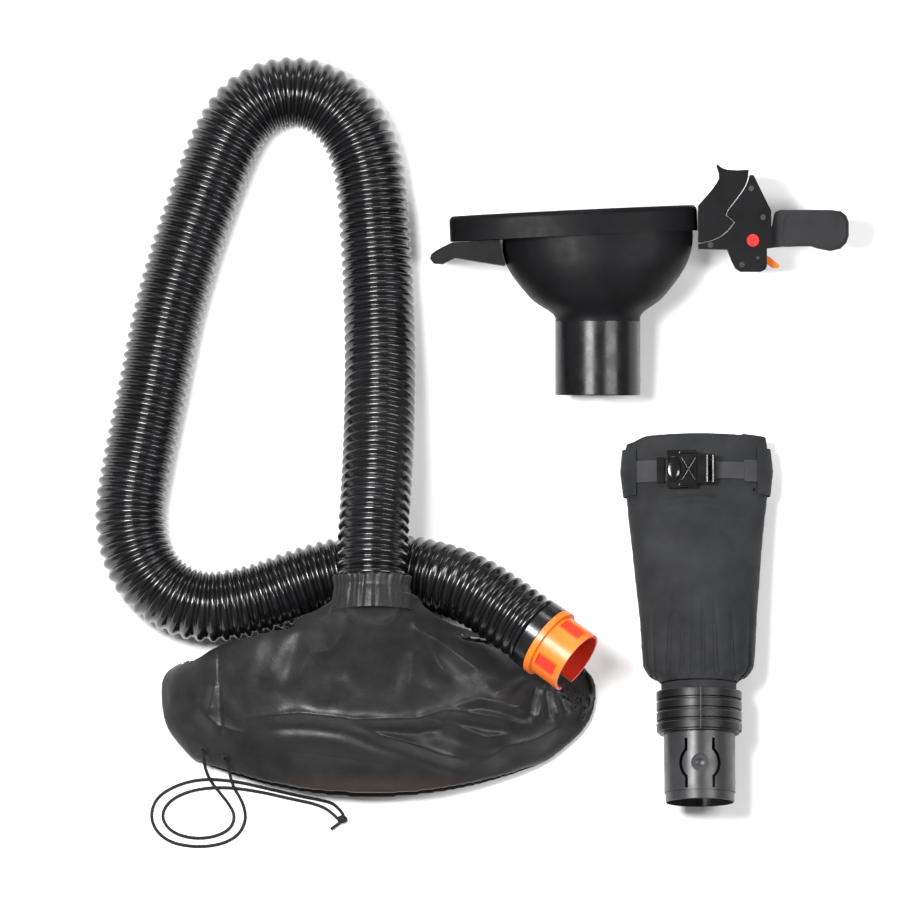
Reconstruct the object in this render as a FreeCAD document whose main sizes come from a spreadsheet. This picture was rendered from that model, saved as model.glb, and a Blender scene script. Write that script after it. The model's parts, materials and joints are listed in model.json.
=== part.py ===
import FreeCAD, Part
import math
import os
import Sketcher
from FreeCAD import Placement, Rotation, Vector

# A leaf collection kit for a blower vacuum, laid out on a flat surface:
# a fabric bin cover with its corrugated hose and swivel connector,
# a funnel adapter with a lever latch, and a fabric sleeve adapter with a spigot.
# The origin is on the surface under the middle of the cover; +Z is up.

doc = FreeCAD.newDocument("LeafCollectionKit")
sheet = doc.addObject("Spreadsheet::Sheet", "Sizes")

SIZES = {
    # hose and its two ends
    "hose_od": 114.0,
    "hose_wall": 2.0,
    "hose_start_height": 176.0,
    "collar_x": -12.0,
    "collar_y": 148.0,
    "collar_length": 48.0,
    "collar_band_wall": 2.0,
    "collar_ring_wall": 2.0,
    "collar_ring_lip": 5.0,
    "hose_fit_gap": 0.15,
    "swivel_gap": 0.05,
    "cuff_length": 22.0,
    "cuff_wall": 4.0,
    "connector_x": 265.6,
    "connector_y": 79.5,
    "connector_height": 128.0,
    "connector_yaw": -38.0,
    "connector_pitch": 12.0,
    "connector_flange_od": 117.0,
    "connector_flange_thickness": 10.0,
    "connector_nose_od": 105.0,
    "connector_nose_length": 62.0,
    "connector_wall": 4.0,
    "connector_panel_depth": 2.4,
    "connector_panel_width": 46.0,
    "connector_panel_length": 36.0,
    "connector_notch_width": 30.0,
    "connector_notch_depth": 24.0,
    "seal_thickness": 1.5,
    # bin cover
    "cover_wall": 4.0,
    "cover_hem_thickness": 8.0,
    "cover_hem_width": 20.0,
    "mouth_edge_y": -157.0,
    "mouth_plan_radius": 704.0,
    "cord_diameter": 5.0,
    "eyelet_od": 15.0,
    "knot_size": 12.0,
    # funnel adapter
    "funnel_x": 348.0,
    "funnel_y": 483.0,
    "spout_od": 136.0,
    "spout_wall": 3.0,
    "spout_insert": 8.0,
    "socket_gap": 1.0,
    "bowl_base_height": 118.0,
    "bowl_wall": 3.5,
    "rim_height": 256.0,
    "rim_slope": 2.7,
    "rim_half_width": 198.0,
    "rim_half_depth": 103.0,
    "rim_offset": -38.0,
    "rim_band_height": 42.0,
    "rim_wall": 5.0,
    "rim_round": 10.0,
    "mouth_half_width": 152.0,
    "mouth_half_depth": 92.0,
    "hook_depth": 90.0,
    "latch_depth": 68.0,
    "latch_gap": 24.0,
    "lever_side_gap": 0.6,
    "lever_depth": 30.0,
    "lever_hub_od": 34.0,
    "lever_pin_x": 247.7,
    "lever_pin_y": 246.9,
    "lever_pin_od": 12.0,
    "lever_pin_head_od": 20.0,
    "lever_pin_head_height": 2.5,
    "pin_gap": 0.05,
    "trigger_pin_x": 255.5,
    "trigger_pin_y": 219.0,
    "trigger_pin_od": 5.0,
    "trigger_depth": 14.0,
    "screw_head_od": 9.0,
    "screw_head_height": 2.0,
    # sleeve adapter
    "sleeve_x": 510.5,
    "sleeve_y": -173.0,
    "sleeve_yaw": 0.48,
    "sleeve_axis_height": 68.0,
    "sleeve_wall": 3.0,
    "sleeve_floor_gap": 3.0,
    "sleeve_settle_length": 30.0,
    "spigot_od": 113.6,
    "spigot_wall": 3.2,
    "spigot_lead": 14.0,
    "spigot_lead_step": 1.8,
    "spigot_length": 110.0,
    "spigot_insert": 60.0,
    "rib_collar_od": 136.0,
    "rib_collar_groove": 4.0,
    "rib_collar_length": 68.0,
    "neck_od": 120.0,
    "neck_length": 12.0,
    "strap_width": 35.0,
    "strap_thickness": 2.0,
    "strap_gap": 0.4,
    "strap_centre": 533.0,
    "loop_width": 76.0,
    "buckle_x": -9.0,
    "buckle_width": 60.0,
    "buckle_thickness": 14.0,
    "buckle_male_length": 30.0,
    "buckle_female_length": 47.0,
    "button_od": 28.0,
    "button_gap": 0.05,
    "button_travel": 4.0,
    "tongue_centre": 57.6,
    "tongue_half_length": 40.0,
    "slot_width": 4.6,
    "slot_bow_radius": 30.7,
    "slot_straight_x": 21.8,
    "slot_bend_y": 20.0,
}

for row, (alias, number) in enumerate(SIZES.items(), start=1):
    sheet.set("A%d" % row, alias)
    sheet.set("B%d" % row, str(number))
    sheet.setAlias("B%d" % row, alias)
doc.recompute()

PARTS = []


def size(expression):
    """The value of an expression in the sheet's own names."""
    return float(sheet.evalExpression(str(expression)))


def bound(expression):
    """The same expression as other objects of the document read it."""
    text = str(expression)
    for alias in sorted(SIZES, key=len, reverse=True):
        text = text.replace(alias, "@%d@" % list(SIZES).index(alias))
    for index, alias in enumerate(SIZES):
        text = text.replace("@%d@" % index, "Sizes." + alias)
    return text


def keep(shape_object, label, frame=None):
    """Make an object one of the part's nodes, standing in the given frame."""
    shape_object.Label = label
    if frame is not None:
        shape_object.Placement = frame.multiply(shape_object.Placement)
    PARTS.append(shape_object)
    return shape_object


def placed(shape_object, x=0, y=0, z=0, rotation=None):
    """Bind the place of a primitive and give it a fixed rotation."""
    base = Vector(size(x), size(y), size(z))
    shape_object.Placement = Placement(base, rotation or Rotation())
    for axis, expression in (("x", x), ("y", y), ("z", z)):
        if isinstance(expression, str):
            shape_object.setExpression("Placement.Base." + axis, bound(expression))
    return shape_object


def primitive(kind, name, **expressions):
    """A Part primitive whose properties are bound to the sheet."""
    made = doc.addObject("Part::" + kind, name)
    for prop, expression in expressions.items():
        made.setExpression(prop, bound(expression))
    return made


def boolean(kind, name, *shapes):
    """A Part boolean of two or more objects."""
    if kind == "Cut":
        tool = shapes[1]
        if len(shapes) > 2:
            tool = boolean("MultiFuse", name + "_tools", *shapes[1:])
        made = doc.addObject("Part::Cut", name)
        made.Base = shapes[0]
        made.Tool = tool
        return made
    made = doc.addObject("Part::" + kind, name)
    made.Shapes = list(shapes)
    return made


def sketch_on(body, plane_role, name):
    """A sketch attached to one of the body's own origin planes."""
    sketch = body.newObject("Sketcher::SketchObject", name)
    plane = [f for f in body.Origin.OriginFeatures if f.Role == plane_role][0]
    sketch.AttachmentSupport = (plane, [""])
    sketch.MapMode = "FlatFace"
    return sketch


def outline(sketch, points):
    """A closed outline of lines; each coordinate is a number or an expression of the sheet."""
    numbers = [(size(x), size(y)) for x, y in points]
    count = len(points)
    for index in range(count):
        start = Vector(*numbers[index], 0)
        end = Vector(*numbers[(index + 1) % count], 0)
        sketch.addGeometry(Part.LineSegment(start, end))
    for index in range(count):
        sketch.addConstraint(Sketcher.Constraint("Coincident", index, 2, (index + 1) % count, 1))
    for index, point in enumerate(points):
        for kind, expression, number in zip(("DistanceX", "DistanceY"), point, numbers[index]):
            constraint = sketch.addConstraint(Sketcher.Constraint(kind, -1, 1, index, 1, number))
            if isinstance(expression, str):
                sketch.setExpression("Constraints[%d]" % constraint, bound(expression))


def circle(sketch, x, y, radius):
    """A full circle whose centre and radius follow the sheet."""
    geometry = sketch.addGeometry(Part.Circle(Vector(size(x), size(y), 0), Vector(0, 0, 1), size(radius)))
    for kind, expression in (("DistanceX", x), ("DistanceY", y)):
        constraint = sketch.addConstraint(Sketcher.Constraint(kind, -1, 1, geometry, 3, size(expression)))
        if isinstance(expression, str):
            sketch.setExpression("Constraints[%d]" % constraint, bound(expression))
    constraint = sketch.addConstraint(Sketcher.Constraint("Radius", geometry, size(radius)))
    if isinstance(radius, str):
        sketch.setExpression("Constraints[%d]" % constraint, bound(radius))


def turned(name, points):
    """A body turned about its own +Z; points are (radius, height)."""
    body = doc.addObject("PartDesign::Body", name)
    sketch = sketch_on(body, "XZ_Plane", name + "_profile")
    outline(sketch, points)
    turn = body.newObject("PartDesign::Revolution", name + "_turn")
    turn.Profile = sketch
    turn.ReferenceAxis = (sketch, ["V_Axis"])
    turn.Angle = 360
    return body


def plate(name, points, depth, holes=()):
    """A flat body: an outline in its own XY plane, centred on it, with round holes through it."""
    body = doc.addObject("PartDesign::Body", name)
    sketch = sketch_on(body, "XY_Plane", name + "_outline")
    outline(sketch, points)
    for x, y, radius in holes:
        circle(sketch, x, y, radius)
    pad = body.newObject("PartDesign::Pad", name + "_pad")
    pad.Profile = sketch
    pad.Midplane = True
    pad.setExpression("Length", bound(depth))
    return body


def rounded_edges(body, radius, chosen):
    """Fillet the edges of a body's tip that the test chooses."""
    doc.recompute()
    tip = body.Tip
    names = ["Edge%d" % (i + 1) for i, edge in enumerate(tip.Shape.Edges) if chosen(edge)]
    fillet = body.newObject("PartDesign::Fillet", body.Name + "_rounding")
    fillet.Base = (tip, names)
    fillet.setExpression("Radius", bound(radius))
    return body


def upright(edge):
    """True of an edge that runs along its body's own Z."""
    low, high = edge.Vertexes[0].Point, edge.Vertexes[-1].Point
    return abs(high.x - low.x) < 1e-4 and abs(high.y - low.y) < 1e-4 and abs(high.z - low.z) > 1


def ellipse(name, half_width, half_depth, x, y, z, rotation):
    """An ellipse; Part wants the larger radius named first."""
    turn = Rotation()
    wide, deep = half_width, half_depth
    if size(half_depth) > size(half_width):
        wide, deep = half_depth, half_width
        turn = Rotation(Vector(0, 0, 1), 90)
    made = primitive("Ellipse", name, MajorRadius=wide, MinorRadius=deep)
    return placed(made, x, y, z, rotation.multiply(turn))


def loft(name, sections, ruled=False):
    made = doc.addObject("Part::Loft", name)
    made.Sections = sections
    made.Solid = True
    made.Ruled = ruled
    return made


# ---------------------------------------------------------------- frames of the three items
ALONG_Y = Rotation(Vector(1, 0, 0), -90)        # a turned body's +Z laid along +Y
FACING_Y = Rotation(Vector(1, 0, 0), 90)        # an ellipse standing across Y

FUNNEL_TILT = math.degrees(math.atan2(size("rim_half_depth - spout_od / 2"), size("rim_height")))
FUNNEL_FRAME = Placement(
    Vector(size("funnel_x"), size("funnel_y"), size("spout_od / 2") * math.cos(math.radians(FUNNEL_TILT))),
    Rotation(Vector(1, 0, 0), FUNNEL_TILT))
SLEEVE_FRAME = Placement(
    Vector(size("sleeve_x"), size("sleeve_y"), size("sleeve_axis_height")),
    Rotation(Vector(0, 0, 1), size("sleeve_yaw")))
COLLAR_FRAME = Placement(Vector(size("collar_x"), size("collar_y"), size("hose_start_height")), ALONG_Y)
CONNECTOR_FRAME = Placement(
    Vector(size("connector_x"), size("connector_y"), size("connector_height")),
    Rotation(Vector(0, 0, 1), size("connector_yaw")).multiply(
        Rotation(Vector(0, 1, 0), 90 - size("connector_pitch"))))


def copy_of(frame):
    return Placement(frame.Base, frame.Rotation)


# ---------------------------------------------------------------- free cords and the hose
def arc_path(points, report):
    """Straight runs joined by the largest tangent arcs that the runs allow."""
    edges = []
    at = points[0]
    for before, corner, after in zip(points, points[1:], points[2:]):
        run_in, run_out = corner.sub(before), after.sub(corner)
        shorter = min(run_in.Length, run_out.Length)
        turn = run_in.getAngle(run_out)
        trim = 0.45 * shorter
        radius = trim / math.tan(turn / 2)
        run_in.normalize()
        run_out.normalize()
        start = corner.sub(run_in * trim)
        end = corner.add(run_out * trim)
        toward_centre = run_out.sub(run_in).normalize()
        middle = corner.add(toward_centre * (radius / math.cos(turn / 2) - radius))
        edges.append(Part.LineSegment(at, start).toShape())
        edges.append(Part.Arc(start, middle, end).toShape())
        report.append(radius)
        at = end
    edges.append(Part.LineSegment(at, points[-1]).toShape())
    return Part.Wire(edges)


def cord(label, points, diameter, bore=0):
    """A round cord or hose along a route, with an optional bore."""
    radii = []
    path = arc_path([Vector(*p) for p in points], radii)
    direction = Vector(*points[1]).sub(Vector(*points[0]))
    rings = [diameter / 2] + ([bore / 2] if bore else [])
    shapes = []
    for radius in rings:
        ring = Part.Wire([Part.Circle(Vector(*points[0]), direction, radius).toShape()])
        shapes.append(path.makePipeShell([ring], True, False))
    shape = shapes[0].cut(shapes[1]) if bore else shapes[0]
    section = math.pi / 4 * (diameter ** 2 - bore ** 2)
    print("%s: length %.0f, volume ratio %.3f, radii %s" % (
        label, path.Length, shape.Volume / (section * path.Length), " ".join("%.0f" % r for r in radii)))
    made = doc.addObject("Part::Feature", label + "_shape")
    made.Shape = shape
    return keep(made, label)


def connector_point(distance):
    """A point on the connector's axis, behind its flange by the distance."""
    return CONNECTOR_FRAME.multVec(Vector(0, 0, -distance))


def build_hose():
    start_y = size("collar_y + collar_ring_lip")
    lead = size("collar_x"), size("hose_start_height")
    end = connector_point(size("cuff_length"))
    before_end = connector_point(size("cuff_length") + 50)
    low = size("hose_od / 2")
    route = [
        (lead[0], start_y, lead[1]),
        (lead[0], 227, lead[1]),
        (-3, 354, 146),
        (1, 514, 88),
        (-2, 655, 60),
        (-9, 765, low),
        (-16, 852, low),
        (-43, 924, low),
        (-94, 969, low),
        (-158, 978, low),
        (-216, 950, low),
        (-251, 890, low),
        (-280, 809, low),
        (-311, 719, low),
        (-341, 610, low),
        (-362, 497, low),
        (-386, 383, low),
        (-404, 279, low),
        (-374, 187, low),
        (-297, 139, low),
        (-205, 151, low),
        (-112, 187, low),
        (-26, 207, low),
        (61, 199, 61),
        (139, 173, 94),
        tuple(before_end),
        tuple(end),
    ]
    cord("hose", route, size("hose_od"), size("hose_od - 2 * hose_wall"))


def build_hose_ends():
    ring = turned("collar_ring", [
        ("hose_od / 2 - collar_ring_lip", 0),
        ("hose_od / 2 + hose_fit_gap + collar_ring_wall", 0),
        ("hose_od / 2 + hose_fit_gap + collar_ring_wall", "collar_length - 6"),
        ("hose_od / 2 + hose_fit_gap", "collar_length - 6"),
        ("hose_od / 2 + hose_fit_gap", "collar_ring_lip"),
        ("hose_od / 2 - collar_ring_lip", "collar_ring_lip"),
    ])
    keep(ring, "collar_ring", copy_of(COLLAR_FRAME))
    inner = "hose_od / 2 + hose_fit_gap + collar_ring_wall"
    band = turned("collar_band", [
        (inner, 0),
        (inner + " + collar_band_wall", 0),
        (inner + " + collar_band_wall", "collar_length"),
        (inner, "collar_length"),
    ])
    keep(band, "collar_band", copy_of(COLLAR_FRAME))

    stub_radius = "connector_nose_od / 2 - connector_wall"
    cuff = turned("hose_cuff", [
        (stub_radius + " + swivel_gap", "-seal_thickness"),
        ("hose_od / 2 + 1", "-seal_thickness"),
        ("hose_od / 2 + 1", "-cuff_length"),
        (stub_radius + " - connector_wall", "-cuff_length"),
        (stub_radius + " - connector_wall", "-cuff_length + 2"),
        (stub_radius + " + swivel_gap", "-cuff_length + 2"),
    ])
    keep(cuff, "hose_cuff", copy_of(CONNECTOR_FRAME))


def build_connector():
    nose = "connector_nose_od / 2"
    body = turned("connector_blank", [
        (nose + " - 2 * connector_wall", "-cuff_length + 3"),
        (nose + " - connector_wall", "-cuff_length + 3"),
        (nose + " - connector_wall", 0),
        ("connector_flange_od / 2", 0),
        ("connector_flange_od / 2", "connector_flange_thickness"),
        (nose, "connector_flange_thickness"),
        (nose, "connector_nose_length"),
        (nose + " - connector_wall", "connector_nose_length"),
        (nose + " - connector_wall", "connector_flange_thickness"),
        (nose + " - 2 * connector_wall", 0),
    ])
    doc.recompute()
    # flat recessed panels round the nose, every 90 degrees, and one open notch at the underside of its end
    panel = primitive("Box", "connector_panel", Length="connector_panel_depth + 20",
                      Width="connector_panel_width", Height="connector_panel_length")
    placed(panel, nose + " - connector_panel_depth", "-connector_panel_width / 2",
           "connector_flange_thickness + 6")
    doc.recompute()
    tools = []
    for index, angle in enumerate((45, 135, 225, 315)):
        turned_panel = doc.addObject("Part::Feature", "connector_panel_%d" % index)
        turned_panel.Shape = panel.Shape
        turned_panel.Placement = Placement(Vector(), Rotation(Vector(0, 0, 1), angle)).multiply(
            panel.Placement)
        tools.append(turned_panel)
    notch = primitive("Box", "connector_notch", Length="connector_nose_od",
                      Width="connector_notch_width", Height="connector_notch_depth + 1")
    placed(notch, "-connector_nose_od", "-connector_notch_width / 2", "connector_nose_length - connector_notch_depth")
    doc.recompute()
    turned_notch = doc.addObject("Part::Feature", "connector_notch_turned")
    turned_notch.Shape = notch.Shape
    turned_notch.Placement = Placement(Vector(), Rotation(Vector(0, 0, 1), 135)).multiply(notch.Placement)
    tools.append(turned_notch)
    keep(boolean("Cut", "connector_cut", body, *tools), "connector", copy_of(CONNECTOR_FRAME))

    seal = turned("connector_seal", [
        (nose + " - connector_wall + swivel_gap", "-seal_thickness + swivel_gap"),
        ("hose_od / 2", "-seal_thickness + swivel_gap"),
        ("hose_od / 2", "-swivel_gap"),
        (nose + " - connector_wall + swivel_gap", "-swivel_gap"),
    ])
    keep(seal, "connector_seal", copy_of(CONNECTOR_FRAME))


# ---------------------------------------------------------------- bin cover
# Stations from the collar to the mouth: distance along Y, reach to the left and to the right of the
# collar's axis, height of the middle line, rise above it, drop below it, and how sharply the right
# side falls away, where the hose's free end rests on it.
COVER_STATIONS = [
    (148, 63, 63, 176, 63, 61, 1.5),
    (138, 69, 76, 154, 79, 100, 1.5),
    (122, 92, 104, 105, 116, 120, 1.8),
    (106, 120, 162, 60, 146, 100, 2.8),
    (92, 164, 222, 36, 158, 80, 4.2),
    (78, 236, 284, 24, 158, 60, 4.6),
    (62, 300, 325, 18, 152, 50, 4.4),
    (40, 332, 350, 14, 144, 44, 3.6),
    (8, 338, 358, 12, 132, 40, 2.6),
    (-29, 334, 350, 12, 116, 40, 2.0),
    (-62, 318, 326, 12, 100, 40, 1.7),
    (-92, 292, 290, 12, 84, 38, 1.5),
    (-116, 256, 252, 12, 68, 36, 1.5),
    (-138, 214, 210, 12, 56, 34, 1.5),
    (-164, 176, 172, 12, 44, 34, 1.5),
]
SEAM_STATION = 9
LEFT_FALL = 1.45


def cover_section(station, inset=0.0):
    """A closed curve across Y: a bell that rises to a soft crest and runs out thin at both sides."""
    y, left, right, middle, rise, drop, right_fall = station
    points = []
    turns = 40
    for step in range(turns):
        angle = 2 * math.pi * step / turns
        side = math.cos(angle)
        reach = (right if side > 0 else left) - inset
        up = math.sin(angle)
        blend = min(1.0, max(0.0, (left + right - 120) / 160))
        fall = LEFT_FALL + (right_fall - LEFT_FALL) * (1 + side) / 2
        power = 1 + (fall - 1) * blend
        height = (rise if up > 0 else drop) - inset
        lift = math.copysign(abs(up) ** (power if up > 0 else 1), up)
        points.append(Vector(size("collar_x") + reach * side, y, middle + height * lift))
    curve = Part.BSplineCurve()
    curve.interpolate(points, PeriodicFlag=True)
    return Part.Wire([curve.toShape()])


def cover_solid(stations, inset, floor):
    """The loft through the stations, cut flat where it rests."""
    body = Part.makeLoft([cover_section(s, inset) for s in stations], True, False)
    low_y, high_y = stations[-1][0], stations[0][0]
    slab = Part.makeBox(2000, high_y - low_y + 200, 400, Vector(-1000, low_y - 100, floor - 400))
    return body.cut(slab)


def mouth_rim(back):
    """An upright drum whose wall is the mouth's curved plan, set back from the mouth's edge."""
    radius = size("mouth_plan_radius")
    centre = Vector(size("collar_x"), size("mouth_edge_y") + radius, -100)
    return Part.makeCylinder(radius - back, 500, centre)


def build_cover():
    """Crown and skirt are one hollow bell, parted at the seam; the hem closes its mouth's edge."""
    wall = size("cover_wall")
    outer = cover_solid(COVER_STATIONS, 0, 0)
    first, last = COVER_STATIONS[0], COVER_STATIONS[-1]
    stretched = [(first[0] + 1,) + first[1:]] + COVER_STATIONS[1:-1] + [(last[0] - 1,) + last[1:]]
    inner = cover_solid(stretched, wall, wall)
    shell = outer.cut(inner)
    hem_width = size("cover_hem_width")
    seam_y = COVER_STATIONS[SEAM_STATION][0]
    front = Part.makeBox(2000, 1000, 1000, Vector(-1000, seam_y - 1000, -100))
    crown = shell.cut(front)
    skirt = shell.common(front).common(mouth_rim(hem_width))
    thick = size("cover_hem_thickness")
    thick_inner = cover_solid(stretched, thick, wall)
    hem = outer.cut(thick_inner).common(mouth_rim(0)).cut(mouth_rim(hem_width)).common(front)
    for label, shape in (("cover_crown", crown), ("cover_skirt", skirt), ("cover_hem", hem)):
        made = doc.addObject("Part::Feature", label + "_shape")
        made.Shape = shape
        keep(made, label)


def cover_top(x, y):
    """Height of the cover's upper surface at a place, between its stations."""
    for near, far in zip(COVER_STATIONS, COVER_STATIONS[1:]):
        if far[0] <= y <= near[0]:
            share = (near[0] - y) / (near[0] - far[0])
            left, right, middle, rise, _, right_fall = [a + (b - a) * share for a, b in zip(near[1:], far[1:])]
            across = x - size("collar_x")
            reach = right if across > 0 else left
            part = min(1, abs(across) / reach)
            fall = LEFT_FALL + (right_fall - LEFT_FALL) * (1 + across / reach) / 2
            return middle + rise * (1 - part ** 2) ** (fall / 2)
    return 0


EYELETS = [(-280, -84), (-245, -98)]


def build_drawstring():
    eyelet_height = 3.0
    pieces = []
    exits = []
    for index, (x, y) in enumerate(EYELETS):
        top = cover_top(x, y)
        slope_x = (cover_top(x + 4, y) - cover_top(x - 4, y)) / 8
        slope_y = (cover_top(x, y + 4) - cover_top(x, y - 4)) / 8
        normal = Vector(-slope_x, -slope_y, 1).normalize()
        base = Vector(x, y, top).add(normal * 1.0)
        outer = Part.makeCylinder(size("eyelet_od / 2"), eyelet_height, base, normal)
        inner = Part.makeCylinder(size("cord_diameter / 2") + 0.5, eyelet_height * 3, base.sub(normal), normal)
        pieces.append(outer.cut(inner))
        exits.append(base.add(normal * (eyelet_height + size("cord_diameter / 2"))))
    made = doc.addObject("Part::Feature", "cord_eyelets_shape")
    made.Shape = Part.makeCompound(pieces)
    keep(made, "cord_eyelets")

    radius = size("cord_diameter / 2")
    low = radius
    over = 3 * radius + 1.5
    strand_a = [
        tuple(exits[0]),
        (-281, -102, 41),
        (-277, -119, 25),
        (-269, -133, over),
        (-256, -149, over),
        (-241, -167, low),
        (-231, -186, low),
        (-238, -207, low),
        (-263, -220, low),
        (-299, -223, low),
        (-334, -212, low),
        (-350, -187, low),
        (-337, -162, low),
        (-303, -145, low),
        (-253, -139, low),
        (-196, -146, low),
        (-141, -159, low),
        (-102, -167, low),
        (-79, -178, low),
        (-66, -192, low),
    ]
    strand_b = [
        tuple(exits[1]),
        (-241, -114, 46),
        (-238, -130, 28),
        (-232, -144, over),
        (-223, -158, over),
        (-216, -174, low),
        (-214, -194, low),
        (-225, -217, low),
        (-252, -232, low),
        (-295, -237, low),
        (-342, -227, low),
        (-367, -196, low),
        (-360, -159, low),
        (-327, -137, low),
        (-283, -126, low),
        (-232, -130, low),
        (-180, -142, low),
        (-129, -154, low),
        (-92, -161, low),
        (-69, -168, low),
        (-58, -185, low),
    ]
    cord("drawstring_a", strand_a, size("cord_diameter"))
    cord("drawstring_b", strand_b, size("cord_diameter"))
    knot = primitive("Ellipsoid", "knot_ball", Radius1="knot_size / 2", Radius2="knot_size * 0.7",
                     Radius3="knot_size * 0.55")
    placed(knot, -60, -192, "knot_size / 2")
    tail = primitive("Cylinder", "knot_tail", Radius="cord_diameter / 2", Height=20)
    placed(tail, -62, -196, "knot_size / 2 - 1.5", Rotation(Vector(-0.75, 1, 0), -90))
    keep(boolean("MultiFuse", "knot_shape", knot, tail), "drawstring_knot")


# ---------------------------------------------------------------- funnel adapter
# In this item's own frame X runs across, Y runs up the funnel's axis from the spout's end,
# and Z is its depth.
def build_funnel():
    spout = turned("spout_tube", [
        ("spout_od / 2 - spout_wall", 0),
        ("spout_od / 2 - 0.8", 0),
        ("spout_od / 2", 0.8),
        ("spout_od / 2", "bowl_base_height"),
        ("spout_od / 2 - bowl_wall - socket_gap", "bowl_base_height"),
        ("spout_od / 2 - bowl_wall - socket_gap", "bowl_base_height + spout_insert"),
        ("spout_od / 2 - bowl_wall - socket_gap - spout_wall", "bowl_base_height + spout_insert"),
        ("spout_od / 2 - bowl_wall - socket_gap - spout_wall", "bowl_base_height - 4"),
        ("spout_od / 2 - spout_wall", "bowl_base_height - 8"),
    ])
    spout.Placement = Placement(Vector(), ALONG_Y)
    keep(spout, "spout_tube", copy_of(FUNNEL_FRAME))

    slope = Rotation(Vector(0, 0, 1), size("rim_slope"))
    stations = [
        ("bowl_base_height", "spout_od / 2", "spout_od / 2"),
        ("bowl_base_height + 10", "spout_od / 2 + 2", "spout_od / 2 + 1"),
        ("bowl_base_height + 24", "mouth_half_width * 0.58", "mouth_half_depth * 0.82"),
        ("bowl_base_height + 48", "mouth_half_width * 0.755", "mouth_half_depth * 0.91"),
        ("bowl_base_height + 80", "mouth_half_width * 0.91", "mouth_half_depth * 0.975"),
        ("bowl_base_height + 108", "mouth_half_width * 0.985", "mouth_half_depth * 0.995"),
    ]

    def bowl_loft(name, inset, first_drop, last_rise):
        sections = []
        for index, (height, half_width, half_depth) in enumerate(stations):
            share = index / len(stations)
            place = height + (" - %g" % first_drop if index == 0 and first_drop else "")
            sections.append(ellipse("%s_%d" % (name, index), half_width + " - " + inset,
                                    half_depth + " - " + inset, 0, place, 0,
                                    Rotation(Vector(0, 0, 1), size("rim_slope") * share).multiply(FACING_Y)))
        sections.append(ellipse("%s_top" % name, "mouth_half_width - " + inset,
                                "mouth_half_depth - " + inset, 0, "rim_height + %g" % last_rise, 0,
                                slope.multiply(FACING_Y)))
        return loft(name + "_loft", sections)

    bowl = boolean("Cut", "funnel_bowl_cut", bowl_loft("bowl_out", "0", 0, 0),
                   bowl_loft("bowl_in", "bowl_wall", 1, 1))
    keep(bowl, "funnel_bowl", copy_of(FUNNEL_FRAME))

    rim_frame = copy_of(FUNNEL_FRAME).multiply(Placement(Vector(0, size("rim_height"), 0), slope))

    def oval(name, half_width, half_depth, offset, low, high):
        face = ellipse(name + "_line", half_width, half_depth, offset, low, 0, FACING_Y)
        made = doc.addObject("Part::Extrusion", name)
        made.Base = face
        made.Dir = Vector(0, 1, 0)
        made.DirMode = "Custom"
        made.setExpression("LengthFwd", bound("(%s) - (%s)" % (high, low)))
        made.Solid = True
        return made

    floor_plate = oval("rim_floor", "rim_half_width", "rim_half_depth", "rim_offset", 0, "rim_wall")
    band = oval("rim_band", "rim_half_width", "rim_half_depth", "rim_offset", 0, "rim_band_height")
    doc.recompute()
    rolled = doc.addObject("Part::Fillet", "rim_rolled")
    rolled.Base = band
    edges = band.Shape.Edges
    top_edge = max(range(len(edges)), key=lambda index: edges[index].CenterOfMass.y)
    rolled.Edges = [(top_edge + 1, size("rim_round"), size("rim_round"))]
    hollow = oval("rim_hollow", "rim_half_width - rim_wall", "rim_half_depth - rim_wall", "rim_offset",
                  "rim_wall", "rim_band_height + 1")
    mouth = oval("rim_mouth", "mouth_half_width - bowl_wall", "mouth_half_depth - bowl_wall", 0,
                 "-1", "rim_wall + 1")
    solid = boolean("MultiFuse", "rim_solid", floor_plate, rolled)
    keep(boolean("Cut", "funnel_rim_cut", solid, hollow, mouth), "funnel_rim", rim_frame)

    hook = plate("front_hook", [
        (-232, 244), (-245, 238), (-258, 231), (-266, 225), (-268, 218), (-262, 210), (-248, 209),
        (-240, 213), (-228, 219), (-204, 215), (-147, 206), (-151.5, 222), (-155, 236), (-156, 247),
    ], "hook_depth")
    rounded_edges(hook, 2, upright)
    keep(hook, "front_hook", copy_of(FUNNEL_FRAME))


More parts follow.
